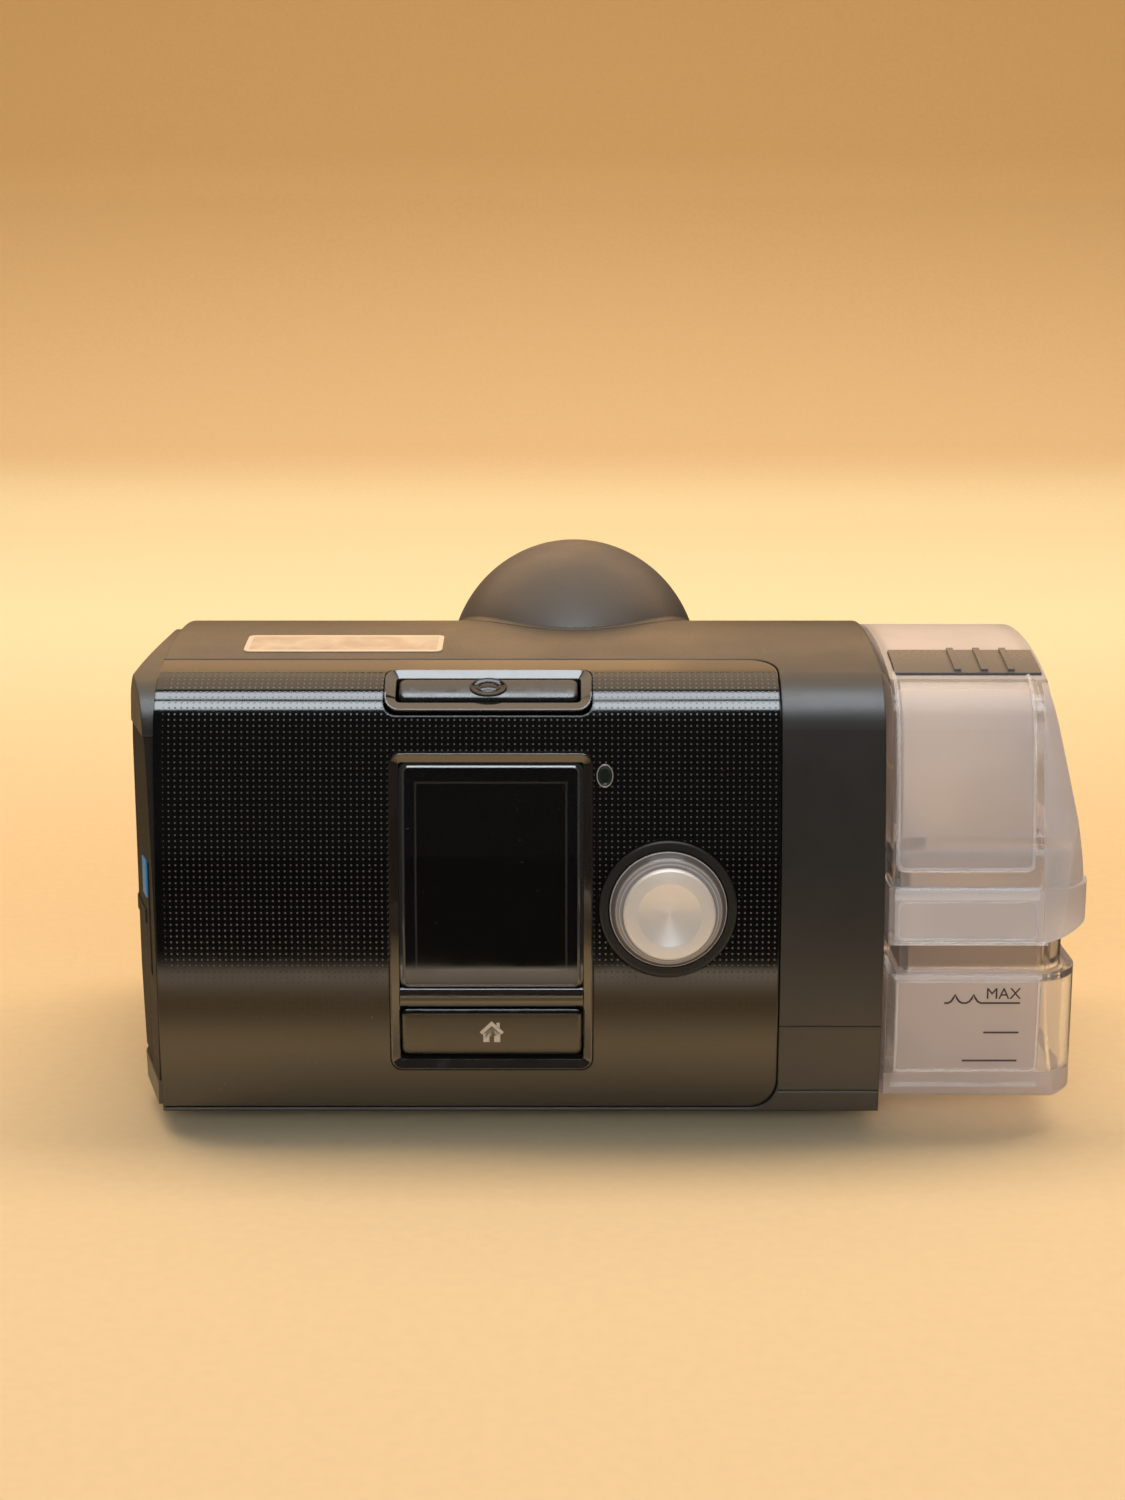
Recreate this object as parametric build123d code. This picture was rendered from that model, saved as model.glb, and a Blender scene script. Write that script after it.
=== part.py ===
from build123d import *
import os
from math import asin, cos, pi, radians, sin, sqrt

# Bedside positive-airway-pressure machine with a heated humidifier tub docked in its right side.
# Millimetres. X runs to the right seen from the front, Y to the back, Z up.
# While it is modelled, y = 0 is the foremost line of the front panel; shift() centres the whole.

# ---- overall sizes ----
WIDTH = 205.0            # over the side pod and the tub
BODY_DEPTH = 112.0       # front panel to rear wall
OUTLET_LENGTH = 31.0     # outlet cone past the rear wall
DIAL_PROUD = 7.0         # dial face in front of the front panel
DEPTH = DIAL_PROUD + BODY_DEPTH + OUTLET_LENGTH
LEFT = -WIDTH / 2
RIGHT = WIDTH / 2

# ---- side outline of the case: tangent arcs from the lower front to the rear ----
CREST_Z = 101.5          # highest line of the casing
FRONT_R = 238.0          # long arc of the front panel
FRONT_Z = 33.0           # height of its foremost line
LEAN = radians(13)       # how far back the panel leans where the top corner starts
CORNER_R = 14.0          # top front corner
CORNER_END = radians(74)
REAR_R = 100.0           # gentle fall behind the crest
REAR_SWEEP = radians(29)
REAR_CORNER_R = 26.0
SKIRT_Z = 4.7            # lower edge of the casing

# ---- walls, gaps ----
WALL = 2.4               # casing wall
FASCIA_T = 2.0           # front panel thickness
SEAM = 0.15              # gap between fixed trim and its seat
GROOVE = 0.4             # visible groove round the front panel
GAP = 0.3                # air between parts that move or touch on curves
PIN_GAP = 0.05           # radial running clearance of pins

# ---- left to right ----
POD_W = 9.2              # side pod
STRIP_W = 21.5           # casing strip to the right of the front panel
TUB_W = 42.9             # tub outside the casing
TUB_GAP = 0.9
CASE_L = LEFT + POD_W
CASE_R = RIGHT - TUB_W - TUB_GAP
FASCIA_R = CASE_R - STRIP_W - GROOVE
FASCIA_BOTTOM = 5.8
FASCIA_BACK = 22.3       # how far back the panel reaches over the top
FASCIA_CORNER = 6.0

# ---- controls, placed from the front panel's right edge ----
DIAL_X = FASCIA_R - 23.2
DIAL_Z = 49.65
DIAL_RING_D = 28.8
DIAL_SKIRT_D = 24.4
DIAL_CAP_D = 19.0
SHAFT_D = 6.0
DIAL_TRAVEL = 0.8
SCREEN_X = FASCIA_R - 60.1
BEZEL_W = 42.45
BEZEL_BOTTOM = 14.4
BEZEL_TOP = 81.8
BEZEL_CORNER = 2.5
BEZEL_T = 4.0
BEVEL = 2.3
WINDOW_W = 36.9
WINDOW_BOTTOM = 32.6
WINDOW_TOP = 79.25
WINDOW_SINK = 0.9
WINDOW_T = 1.2
HOME_W = 38.0
HOME_BOTTOM = 17.55
HOME_TOP = 27.8
BUTTON_T = 3.0
BUTTON_TRAVEL = 0.6
START_X = SCREEN_X - 0.6
START_ANGLE = radians(52.4)   # direction the button faces, up from level
START_W = 37.5
START_H = 6.9
START_FRAME_W = 43.3
START_FRAME_H = 12.4
START_FRAME_T = 2.6
LENS_W = 7.9
LENS_H = 5.0
SENSOR_X = FASCIA_R - 36.4
SENSOR_Z = 77.2
SENSOR_W = 3.0
SENSOR_H = 4.2
BADGE_BOTTOM = 9.35
BADGE_TOP = 23.95
BADGE_T = 1.4

# ---- electronics ----
BOARD_Y = 10.6           # front face of the main board
BOARD_T = 1.6
BOARD_BOTTOM = 18.0
BOARD_TOP = 80.0
LCD_T = 2.5

# ---- humidifier bay and tub ----
BAY_DEPTH = 61.0         # how far the bay runs in from the casing's right side
BAY_FRONT = 16.0
BAY_BACK = 105.0
BAY_BOTTOM = 8.6
BAY_TOP = 76.0
LINER_T = 1.5
TUB_CLEAR = 1.0          # tub to bay, all round
TUB_WALL = 2.0
TUB_BACK = 106.0
TUB_BOTTOM = 7.9
TUB_TRAVEL = 75.0        # slides right out
RIM_Z = 60.0             # top of the tub's base
BAND_BOTTOM = 41.8       # latch band on the lid
BAND_TOP = 54.0
NECK_BOTTOM = 35.6
NECK_SINK = 2.8
LID_SINK = 0.8           # lid faces behind the latch band
SEAL_T = 1.3
HINGE_Z = 66.0
HINGE_Y = 101.6
HINGE_R = 3.6
PIN_R = 1.5
PLATE_T = 1.5
PORT_R = 8.0             # air ports between bay and tub
PORT_FRONT_Y = 38.0
PORT_BACK_Y = 78.0
PORT_Z = 50.0

# ---- blower ----
BLOWER_X = CASE_L + 36.3
BLOWER_Y = 56.0
BLOWER_R = 30.0
BLOWER_BOTTOM = 16.0
BLOWER_SPLIT = 36.0
BLOWER_TOP = 56.0
BLOWER_WALL = 2.0
IMPELLER_R = 23.0
MOTOR_R = 15.0
MOTOR_SHAFT_R = 1.5

# ---- plinth and feet ----
PLINTH_SETBACK = 9.0
PLINTH_BOTTOM = 0.8
FOOT_R = 6.0
FOOT_SEAT = 0.7

# ---- air outlet ----
HOOD_X = CASE_R - BAY_DEPTH - 3.3
HOOD_R = 30.0
HOOD_Z = 86.0            # axis height; the hood tops out at HOOD_Z + HOOD_R
HOOD_PEAK = 88.0
HOOD_NOSE = 50.0         # half length of the dome, front to back
HOOD_BACK = BODY_DEPTH + 5.0
OUTLET_Z = 95.0
OUTLET_R = 11.0          # 22 mm cone, outside
OUTLET_BORE_R = 9.0

# ---- rear wall ----
FILTER_X = CASE_L + 27.3
FILTER_W = 42.0
FILTER_BOTTOM = 17.0
FILTER_TOP = 61.0
FILTER_COVER_T = 3.0
FILTER_COVER_SINK = 1.4
INLET_X = (CASE_L + CASE_R) / 2 - 6.3
INLET_Z = 22.0
INLET_R = 4.0

# ---- side pod ----
POD_TOP_SINK = 2.0
POD_T = 4.0
PANEL_T = 1.6
PANEL_SINK = 0.3
PANEL_BOTTOM = 11.0
PANEL_TOP = 84.6
PANEL_BACK = 98.0
COVER_BOTTOM = 11.6
COVER_TOP = 45.4
COVER_FRONT = 14.5
COVER_BACK = 62.0
LEDGE_H = 3.0
CARD_Y = 8.0             # front face of the card
CARD_T = 2.1
CARD_W = 24.0
CARD_L = 32.0
CARD_BOTTOM = 33.0
CARD_TRAVEL = 34.0

OVER = 1.0               # how far a cutter runs past what it cuts
FAR = 400.0


# ---------------------------------------------------------------- geometry helpers
def block(x0, x1, y0, y1, z0, z1):
    """Box between two corners."""
    return Pos((x0 + x1) / 2, (y0 + y1) / 2, (z0 + z1) / 2) * Box(x1 - x0, y1 - y0, z1 - z0)


def rod(radius, start, end):
    """Round bar from one point to another."""
    a, b = Vector(*start), Vector(*end)
    return extrude(Plane(origin=a, z_dir=b - a) * Circle(radius), amount=(b - a).length)


def tube(outer, inner, start, end):
    return rod(outer, start, end) - rod(inner, start, end)


# Centres of the outline's arcs; each arc starts where the one before it ends.
CORNER_Y = FRONT_R - (FRONT_R - CORNER_R) * cos(LEAN)
CORNER_Z = FRONT_Z + (FRONT_R - CORNER_R) * sin(LEAN)
TOP_R = (CREST_Z - CORNER_Z - CORNER_R * sin(CORNER_END)) / (1 - sin(CORNER_END))
TOP_Y = CORNER_Y + (TOP_R - CORNER_R) * cos(CORNER_END)
TOP_Z = CREST_Z - TOP_R
REAR_FLAT = (BODY_DEPTH - REAR_CORNER_R - TOP_Y) - (REAR_R - REAR_CORNER_R) * sin(REAR_SWEEP)
FALL_Y = TOP_Y + REAR_FLAT
FALL_Z = CREST_Z - REAR_R
BACK_Y = BODY_DEPTH - REAR_CORNER_R
BACK_Z = FALL_Z + (REAR_R - REAR_CORNER_R) * cos(REAR_SWEEP)


def arc(cy, cz, radius, start, end):
    """Arc about (cy, cz); angles run from level towards the front, up and over to the rear."""
    points = [(cy - radius * cos(a), cz + radius * sin(a)) for a in (start, (start + end) / 2, end)]
    return ThreePointArc(*points)


def outline(inset=0.0, bottom=SKIRT_Z):
    """Side outline of the case moved inwards by inset, as a face in the YZ plane."""
    start = asin((bottom - FRONT_Z) / (FRONT_R - inset))
    fall_end = pi / 2 + REAR_SWEEP
    edges = [
        arc(FRONT_R, FRONT_Z, FRONT_R - inset, start, LEAN),
        arc(CORNER_Y, CORNER_Z, CORNER_R - inset, LEAN, CORNER_END),
        arc(TOP_Y, TOP_Z, TOP_R - inset, CORNER_END, pi / 2),
    ]
    if REAR_FLAT > 0:
        edges.append(Line((TOP_Y, CREST_Z - inset), (FALL_Y, CREST_Z - inset)))
    edges += [
        arc(FALL_Y, FALL_Z, REAR_R - inset, pi / 2, fall_end),
        arc(BACK_Y, BACK_Z, REAR_CORNER_R - inset, fall_end, pi),
    ]
    back = BODY_DEPTH - inset
    edges.append(Line(edges[-1] @ 1, (back, bottom)))
    edges.append(Line((back, bottom), edges[0] @ 0))
    return make_face(Curve() + edges)


def case(x0, x1, inset=0.0, bottom=SKIRT_Z):
    """Solid of the case outline between two planes across X."""
    return extrude(Plane.YZ.offset(x0) * outline(inset, bottom), amount=x1 - x0)


def skin(x0, x1, outer, inner, bottom=SKIRT_Z):
    """Shell between two insets of the case outline, open below and at both ends."""
    return case(x0, x1, outer, bottom) - case(x0 - OVER, x1 + OVER, inner, bottom - OVER)


def front_y(z):
    """Where the front panel's surface is at height z."""
    return FRONT_R - sqrt(FRONT_R ** 2 - (z - FRONT_Z) ** 2)


def front_plane(x, z):
    """Plane on the front panel, facing out."""
    tilt = asin((z - FRONT_Z) / FRONT_R)
    return Plane(origin=(x, front_y(z), z), x_dir=(1, 0, 0), z_dir=(0, -cos(tilt), sin(tilt)))


def corner_plane(x, angle):
    """Plane on the top front corner, facing out at an angle up from level."""
    origin = (x, CORNER_Y - CORNER_R * cos(angle), CORNER_Z + CORNER_R * sin(angle))
    return Plane(origin=origin, x_dir=(1, 0, 0), z_dir=(0, -cos(angle), sin(angle)))


def front_prism(x0, x1, z0, z1, radius, y0=-20.0, y1=40.0):
    """Rounded rectangle seen from the front, run through in Y."""
    sketch = Pos((x0 + x1) / 2, (z0 + z1) / 2) * RectangleRounded(x1 - x0, z1 - z0, radius)
    return extrude(Plane.XZ.offset(-y1) * sketch, amount=y1 - y0)


def plan_prism(x0, x1, y0, y1, radius, z0=-20.0, z1=160.0):
    """Rounded rectangle seen from above, run through in Z."""
    sketch = Pos((x0 + x1) / 2, (y0 + y1) / 2) * RectangleRounded(x1 - x0, y1 - y0, radius)
    return extrude(Plane.XY.offset(z0) * sketch, amount=z1 - z0)


def prism_on(plane, width, height, radius, out, into):
    """Rounded rectangle on a plane, from out in front of it to into behind it."""
    return extrude(plane.offset(-into) * RectangleRounded(width, height, radius), amount=out + into)


# ---------------------------------------------------------------- casing and trim
def fascia_zone(grow):
    """Where the front panel lies, seen from the front and from above, grown by a margin."""
    zone = block(CASE_L - OVER - grow, FASCIA_R + grow, -20.0, FASCIA_BACK + grow,
                 FASCIA_BOTTOM - grow, 130.0)
    right = zone.faces().sort_by(Axis.X)[-1]
    lower, rear = right.edges().sort_by(Axis.Z)[0], right.edges().sort_by(Axis.Y)[-1]
    return fillet([lower, rear], FASCIA_CORNER)


def hood_solid(inset):
    """Long dome over the air outlet, cut off level at the back."""
    radius = HOOD_R - inset
    dome = Pos(HOOD_X, HOOD_PEAK, HOOD_Z) * scale(Sphere(1.0), by=(radius, HOOD_NOSE - inset, radius))
    floor_z = BACK_Z + 4.0
    return dome & block(HOOD_X - FAR, HOOD_X + FAR, 0, HOOD_BACK - inset, floor_z + inset, FAR)


SCREW_SPOTS = [(CASE_L + 9.5, 14.0), (CASE_R - 8.5, 9.0), (CASE_L + 9.5, 98.0), (INLET_X - 12.0, 104.0)]
BOSS_TOP = 16.0
RIM_LIP = 1.8            # lip inside the right rim that the bay's frame lies against
BOSS_BOTTOM = 7.2
SCREW_R = 1.5


def screw_bosses():
    """Blocks on the casing walls that the screws from below run into."""
    left, right = SCREW_SPOTS[0], SCREW_SPOTS[1]
    rear_left, rear = SCREW_SPOTS[2], SCREW_SPOTS[3]
    bosses = block(CASE_L + OVER, left[0] + 4.5, left[1] - 4.5, left[1] + 4.5, BOSS_BOTTOM, BOSS_TOP)
    bosses += block(right[0] - 4.0, right[0] + 4.0, 2.2, right[1] + 4.5, BOSS_BOTTOM, BOSS_TOP)
    bosses += block(CASE_L + OVER, rear_left[0] + 4.5, rear_left[1] - 4.5, rear_left[1] + 4.5,
                    BOSS_BOTTOM, BOSS_TOP)
    bosses += block(rear[0] - 4.5, rear[0] + 4.5, rear[1] - 4.5, BODY_DEPTH - OVER, BOSS_BOTTOM, BOSS_TOP)
    for x, y in SCREW_SPOTS:
        bosses -= rod(SCREW_R + PIN_GAP, (x, y, BOSS_BOTTOM - OVER), (x, y, BOSS_TOP - 1.5))
    return bosses


def filter_window():
    """Opening in the rear wall behind the filter cover."""
    return block(FILTER_X - 16, FILTER_X + 16, BODY_DEPTH - 8, BODY_DEPTH + OVER,
                 FILTER_BOTTOM + 5, FILTER_TOP - 5)


def filter_recess(margin):
    return block(FILTER_X - FILTER_W / 2 - margin, FILTER_X + FILTER_W / 2 + margin,
                 BODY_DEPTH - FILTER_COVER_SINK, BODY_DEPTH + 20, FILTER_BOTTOM - margin, FILTER_TOP + margin)


def above_case():
    """Room over the casing's skin that the hood takes up."""
    return hood_solid(-OVER) - case(CASE_L - OVER, CASE_R + OVER)


def outlet_hood():
    """Dome on the casing's roof and rear wall, round the outlet cone."""
    dome = (hood_solid(0.0) - hood_solid(WALL)) & above_case()
    dome -= rod(OUTLET_R + 2.0 + SEAM, (HOOD_X, HOOD_BACK - WALL - 4, OUTLET_Z),
                (HOOD_X, HOOD_BACK + OVER, OUTLET_Z))
    return dome - contact_zone(SEAM)


def bay_frame():
    """End wall inside the casing's right rim, with the mouth of the humidifier bay."""
    wall = case(CASE_R - WALL, CASE_R, WALL + SEAM)
    return wall - block(CASE_R - WALL - OVER, CASE_R + OVER, BAY_FRONT, BAY_BACK, BAY_BOTTOM, BAY_TOP)


def top_housing():
    """Casing: left, top and rear walls, the front strip, and the rim that holds the bay's frame."""
    inner = case(CASE_L + WALL, CASE_R + OVER, WALL, SKIRT_Z - OVER) + hood_solid(WALL)
    shell = case(CASE_L, CASE_R) - inner
    lip = skin(CASE_R - WALL - RIM_LIP, CASE_R - WALL, WALL - SEAM, WALL + RIM_LIP)
    shell += lip - block(CASE_R - 10, CASE_R, BAY_FRONT - LINER_T - SEAM, BAY_BACK + LINER_T + SEAM,
                         BAY_BOTTOM - LINER_T, BAY_TOP + LINER_T + SEAM)
    thin = skin(CASE_L - 3 * OVER, CASE_R + OVER, -OVER, FASCIA_T + SEAM, SKIRT_Z - OVER)
    shell -= thin & fascia_zone(GROOVE)
    ledge = skin(CASE_L + OVER, CASE_R - OVER, FASCIA_T + SEAM, FASCIA_T + SEAM + 2.0)
    frame = fascia_zone(GROOVE + 2.5) - fascia_zone(-3.5)
    shell += ledge & frame & block(CASE_L + OVER, CASE_R, -5, FASCIA_BACK + 6, SKIRT_Z + 0.6, FAR)
    open_front = skin(CASE_L + WALL + 0.2, CASE_R, -OVER, WALL + 4.0) & fascia_zone(-3.5)
    shell -= open_front
    shell += screw_bosses()
    badge = skin(FASCIA_R + GROOVE, CASE_R + OVER, -OVER, BADGE_T + 2 * SEAM)
    shell -= badge & block(FASCIA_R + GROOVE - OVER, CASE_R + 2 * OVER, -5, 12, BADGE_BOTTOM - SEAM,
                           BADGE_TOP + SEAM)
    shell -= rod(OUTLET_R + 2.0 + SEAM, (HOOD_X, HOOD_BACK - WALL - 4, OUTLET_Z),
                 (HOOD_X, HOOD_BACK + OVER, OUTLET_Z))
    shell -= contact_zone(SEAM)
    shell -= filter_recess(GAP)
    shell -= filter_window()
    shell -= block(INLET_X - 7 - SEAM, INLET_X + 7 + SEAM, BODY_DEPTH - 8, BODY_DEPTH + OVER,
                   INLET_Z - 6 - SEAM, INLET_Z + 6 + SEAM)
    shell -= card_way(0.4)
    shell -= block(CASE_L - OVER, CASE_L + WALL + OVER, PORT_Y0 - SEAM, PORT_Y1 + SEAM,
                   PORT_Z0 - SEAM, PORT_Z1 + SEAM)
    shell += filter_ears() + clip_ears()
    return shell


def front_fascia():
    """Gloss front panel, wrapped over the top corner, with posts that carry the main board."""
    panel = skin(CASE_L, FASCIA_R, 0.0, FASCIA_T) & fascia_zone(0.0)
    x0, x1 = SCREEN_X - BEZEL_W / 2, SCREEN_X + BEZEL_W / 2
    panel -= front_prism(x0 - SEAM, x1 + SEAM, BEZEL_BOTTOM - SEAM, BEZEL_TOP + SEAM, BEZEL_CORNER)
    seat = corner_plane(START_X, START_ANGLE)
    panel -= prism_on(seat, START_FRAME_W + 2 * SEAM, START_FRAME_H + 2 * SEAM, 2.6, 8, 8)
    dial = front_plane(DIAL_X, DIAL_Z)
    panel -= extrude(dial.offset(-6) * Circle(DIAL_RING_D / 2 + SEAM), amount=12)
    sensor = front_plane(SENSOR_X, SENSOR_Z)
    panel -= extrude(sensor.offset(-6) * Ellipse(SENSOR_W / 2 + SEAM, SENSOR_H / 2 + SEAM), amount=12)
    for x in (BOARD_L + 5, FASCIA_R - 7):
        for z in (BOARD_BOTTOM + 5, BOARD_TOP - 6):
            panel += rod(2.5, (x, front_y(z) + FASCIA_T - 0.6, z), (x, BOARD_Y, z))
    return panel


def badge_plate():
    plate = skin(FASCIA_R + GROOVE, CASE_R, SEAM, SEAM + BADGE_T)
    return plate & block(FASCIA_R + GROOVE, CASE_R, -5, 12, BADGE_BOTTOM, BADGE_TOP)


def top_label():
    """Bare sticker on the top face."""
    zone = plan_prism(CASE_L + 16.2, CASE_L + 59.0, FASCIA_BACK + 4.4, FASCIA_BACK + 16.2, 1.5, 60, 130)
    return skin(CASE_L, CASE_R, -0.15, 0.0) & zone


def plinth_outline(margin, z):
    x0, x1 = CASE_L + 3.2 + margin, CASE_R - 1.6 - margin
    y0, y1 = PLINTH_SETBACK + margin, BODY_DEPTH - 6.0 - margin
    sketch = Pos((x0 + x1) / 2, (y0 + y1) / 2) * RectangleRounded(x1 - x0, y1 - y0, 6.0)
    return Plane.XY.offset(z) * sketch


FOOT_SPOTS = [(x, y) for x in (CASE_L + 18.0, CASE_R - 16.0)
              for y in (PLINTH_SETBACK + 12.0, BODY_DEPTH - 20.0)]


def bottom_cover():
    """Plinth tray with a flange that closes the casing from below."""
    tray = loft([plinth_outline(3.2, PLINTH_BOTTOM), plinth_outline(0.0, SKIRT_Z)])
    lid_zone = case(CASE_L + WALL + SEAM, CASE_R - WALL - SEAM, WALL + 2.3, SKIRT_Z - OVER)
    tray += lid_zone & block(-FAR, FAR, -FAR, FAR, SKIRT_Z, BOSS_BOTTOM)
    hollow = plan_prism(CASE_L + 15, CASE_R - 15, PLINTH_SETBACK + 14, BODY_DEPTH - 20, 4.0,
                        PLINTH_BOTTOM + 2.2, BOSS_BOTTOM + 10)
    tray -= hollow - sum_of(block(x - 9, x + 9, y - 9, y + 9, 0, 20) for x, y in FOOT_SPOTS)
    for x, y in FOOT_SPOTS:
        tray -= rod(FOOT_R + SEAM, (x, y, PLINTH_BOTTOM - OVER), (x, y, PLINTH_BOTTOM + FOOT_SEAT))
    for x, y in SCREW_SPOTS:
        tray -= rod(SCREW_R + 0.3, (x, y, -OVER), (x, y, 20))
        tray -= rod(3.3, (x, y, -OVER), (x, y, SKIRT_Z + 0.2))
    return tray


def sum_of(solids):
    total = None
    for solid in solids:
        total = solid if total is None else total + solid
    return total


def rubber_feet():
    return sum_of(fillet(rod(FOOT_R, (x, y, 0), (x, y, PLINTH_BOTTOM + FOOT_SEAT)).edges().group_by(Axis.Z)[0],
                         0.4) for x, y in FOOT_SPOTS)


def case_screws():
    return sum_of(rod(SCREW_R, (x, y, SKIRT_Z), (x, y, BOSS_TOP - 2))
                  + rod(2.8, (x, y, SKIRT_Z - 1.4), (x, y, SKIRT_Z + 0.2)) for x, y in SCREW_SPOTS)


# ---------------------------------------------------------------- side pod, card slot, adapter cover
POD_NOSE_FRONT = 2.0
POD_NOSE_BACK = 27.0     # the pod's face slants out to here, then runs straight back
POD_SLANT = (POD_W - 1.2) / (POD_NOSE_BACK - POD_NOSE_FRONT)
POD_BOW = 3.0            # how far the face tucks in towards the ground
POD_BOW_Z = 55.0         # height where it stands out most


def pod_solid(inset):
    """End cap on the casing's left side: slanted in plan, bowed seen from the front."""
    x_out = LEFT + inset
    x_in = CASE_L - SEAM
    body = case(x_out, x_in, POD_TOP_SINK + inset, SKIRT_Z - 3 * OVER if inset else SKIRT_Z + 0.8)
    push = inset * sqrt(1 + POD_SLANT ** 2)
    shoulder_x = x_out + 0.6
    slope = (POD_NOSE_BACK - POD_NOSE_FRONT) / (x_in + push - 0.6 - shoulder_x)
    beyond = x_in + 10.0
    plan = make_face(Polyline([
        (beyond, POD_NOSE_BACK - slope * (beyond - shoulder_x)), (shoulder_x, POD_NOSE_BACK),
        (x_out, POD_NOSE_BACK + 9), (x_out, BODY_DEPTH - 22), (x_out + 4.5, BODY_DEPTH - 4),
        (x_in, BODY_DEPTH), (beyond, BODY_DEPTH), (beyond, POD_NOSE_BACK - slope * (beyond - shoulder_x))]))
    body &= extrude(Plane.XY.offset(-OVER) * plan, amount=FAR)
    bow = make_face(Curve() + [
        Line((x_in, 0), (x_out + POD_BOW, 0)),
        ThreePointArc((x_out + POD_BOW, 0), (x_out, POD_BOW_Z), (x_out + 1.2, CREST_Z - 12)),
        ThreePointArc((x_out + 1.2, CREST_Z - 12), (x_out + 3.4, CREST_Z - 5.0 - inset * 0.7),
                      (x_in - 0.4, CREST_Z - inset)),
        Line((x_in - 0.4, CREST_Z - inset), (x_in, CREST_Z - inset)),
        Line((x_in, CREST_Z - inset), (x_in, 0))])
    return body & extrude(Plane.XZ.offset(-FAR) * bow, amount=2 * FAR)


def panel_zone(margin):
    return block(LEFT - OVER, CASE_L + OVER, 1.0, PANEL_BACK + margin,
                 PANEL_BOTTOM - margin, PANEL_TOP + margin)


def cover_zone(margin):
    return block(LEFT - OVER, CASE_L + OVER, COVER_FRONT - margin, COVER_BACK + margin,
                 COVER_BOTTOM - margin, COVER_TOP + margin)


def card_way(margin):
    """Straight way for the memory card, out to the left."""
    return block(LEFT - 2 * OVER, CASE_L + 5, CARD_Y - margin, CARD_Y + CARD_T + margin,
                 CARD_BOTTOM - margin, CARD_BOTTOM + CARD_W + margin)


PORT_Y0, PORT_Y1 = 34.0, 52.0
PORT_Z0, PORT_Z1 = 22.0, 34.0
BARREL_R = 1.5           # hinge barrel along the door's lower edge, flush with its face
COVER_AXIS_Z = COVER_BOTTOM + BARREL_R
COVER_AXIS_X = LEFT + PANEL_SINK + POD_BOW * (1 - COVER_AXIS_Z / POD_BOW_Z) ** 2 + BARREL_R
COVER_EARS = [COVER_FRONT + 18.5, COVER_BACK - 8.0]
EAR_L = 4.0
EAR_R = 1.45
ADAPTER_PIN_R = 0.6
ADAPTER_PIN_REACH = 2.5  # how far each pin runs into the barrel on both sides of its ear


def on_cover_axis(radius, y0, y1):
    return rod(radius, (COVER_AXIS_X, y0, COVER_AXIS_Z), (COVER_AXIS_X, y1, COVER_AXIS_Z))


def side_pod():
    shell = pod_solid(0.0) - pod_solid(POD_T)
    recess = pod_solid(-OVER * 0.5) - pod_solid(PANEL_T + PANEL_SINK + SEAM)
    shell -= recess & panel_zone(SEAM)
    shell -= card_way(0.4)
    shell -= block(LEFT - OVER, CASE_L, PORT_Y0 - 4, PORT_Y1 + 4, PORT_Z0 - 3, PORT_Z1 + 3)
    shell -= block(LEFT - OVER, CASE_L, COVER_FRONT - GAP, COVER_BACK + GAP,
                   COVER_BOTTOM - GAP, COVER_AXIS_Z + 4)
    for y0 in COVER_EARS:
        y1 = y0 + EAR_L
        ear = on_cover_axis(EAR_R, y0, y1)
        ear += block(COVER_AXIS_X, CASE_L - SEAM, y0, y1, COVER_AXIS_Z - EAR_R, COVER_AXIS_Z + EAR_R)
        ear += block(COVER_AXIS_X + 1.0, CASE_L - SEAM, y0, y1, SKIRT_Z + 1.5, COVER_AXIS_Z)
        shell += ear - on_cover_axis(ADAPTER_PIN_R + PIN_GAP, y0 - OVER, y1 + OVER)
    return shell


def side_panel():
    """Dark textured insert round the card slot, with the opening for the adapter cover."""
    plate = pod_solid(PANEL_SINK) - pod_solid(PANEL_SINK + PANEL_T)
    plate &= panel_zone(0.0)
    plate -= cover_zone(GAP)
    plate -= card_way(0.4)
    return plate - marker_zone(SEAM)


def marker_zone(margin):
    return block(LEFT - OVER, CASE_L, CARD_Y + CARD_T + 1.2 - margin, CARD_Y + CARD_T + 6.6 + margin,
                 49.0 - margin, 57.0 + margin)


def slot_marker():
    plate = pod_solid(0.0) - pod_solid(PANEL_SINK + PANEL_T)
    return plate & marker_zone(0.0)


def adapter_cover():
    """Door over the adapter port, hinged along its lower edge, with a finger ledge on top."""
    door = pod_solid(PANEL_SINK) - pod_solid(PANEL_SINK + PANEL_T)
    door &= cover_zone(0.0)
    ledge = (pod_solid(0.0) - pod_solid(PANEL_SINK + 0.6)) & cover_zone(0.0)
    door += ledge & block(LEFT - 2 * OVER, CASE_L, 0, FAR, COVER_TOP - LEDGE_H, COVER_TOP)
    slant_end = POD_NOSE_BACK - 3.0
    door -= block(LEFT - OVER, CASE_L, slant_end, FAR, 0, COVER_AXIS_Z)
    door -= block(LEFT - OVER, CASE_L, slant_end - 3.6, slant_end + OVER, 0, COVER_AXIS_Z - 0.6)
    door += on_cover_axis(BARREL_R, POD_NOSE_BACK, COVER_BACK)
    for y0 in COVER_EARS:
        y1 = y0 + EAR_L
        door -= block(LEFT - OVER, CASE_L, y0 - GAP, y1 + GAP, 0, COVER_AXIS_Z + EAR_R + GAP)
        reach = ADAPTER_PIN_REACH + GAP
        door -= on_cover_axis(ADAPTER_PIN_R + PIN_GAP, y0 - reach, y1 + reach)
    return door


def adapter_pin():
    return sum_of(on_cover_axis(ADAPTER_PIN_R, y0 - ADAPTER_PIN_REACH, y0 + EAR_L + ADAPTER_PIN_REACH)
                  for y0 in COVER_EARS)


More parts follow.
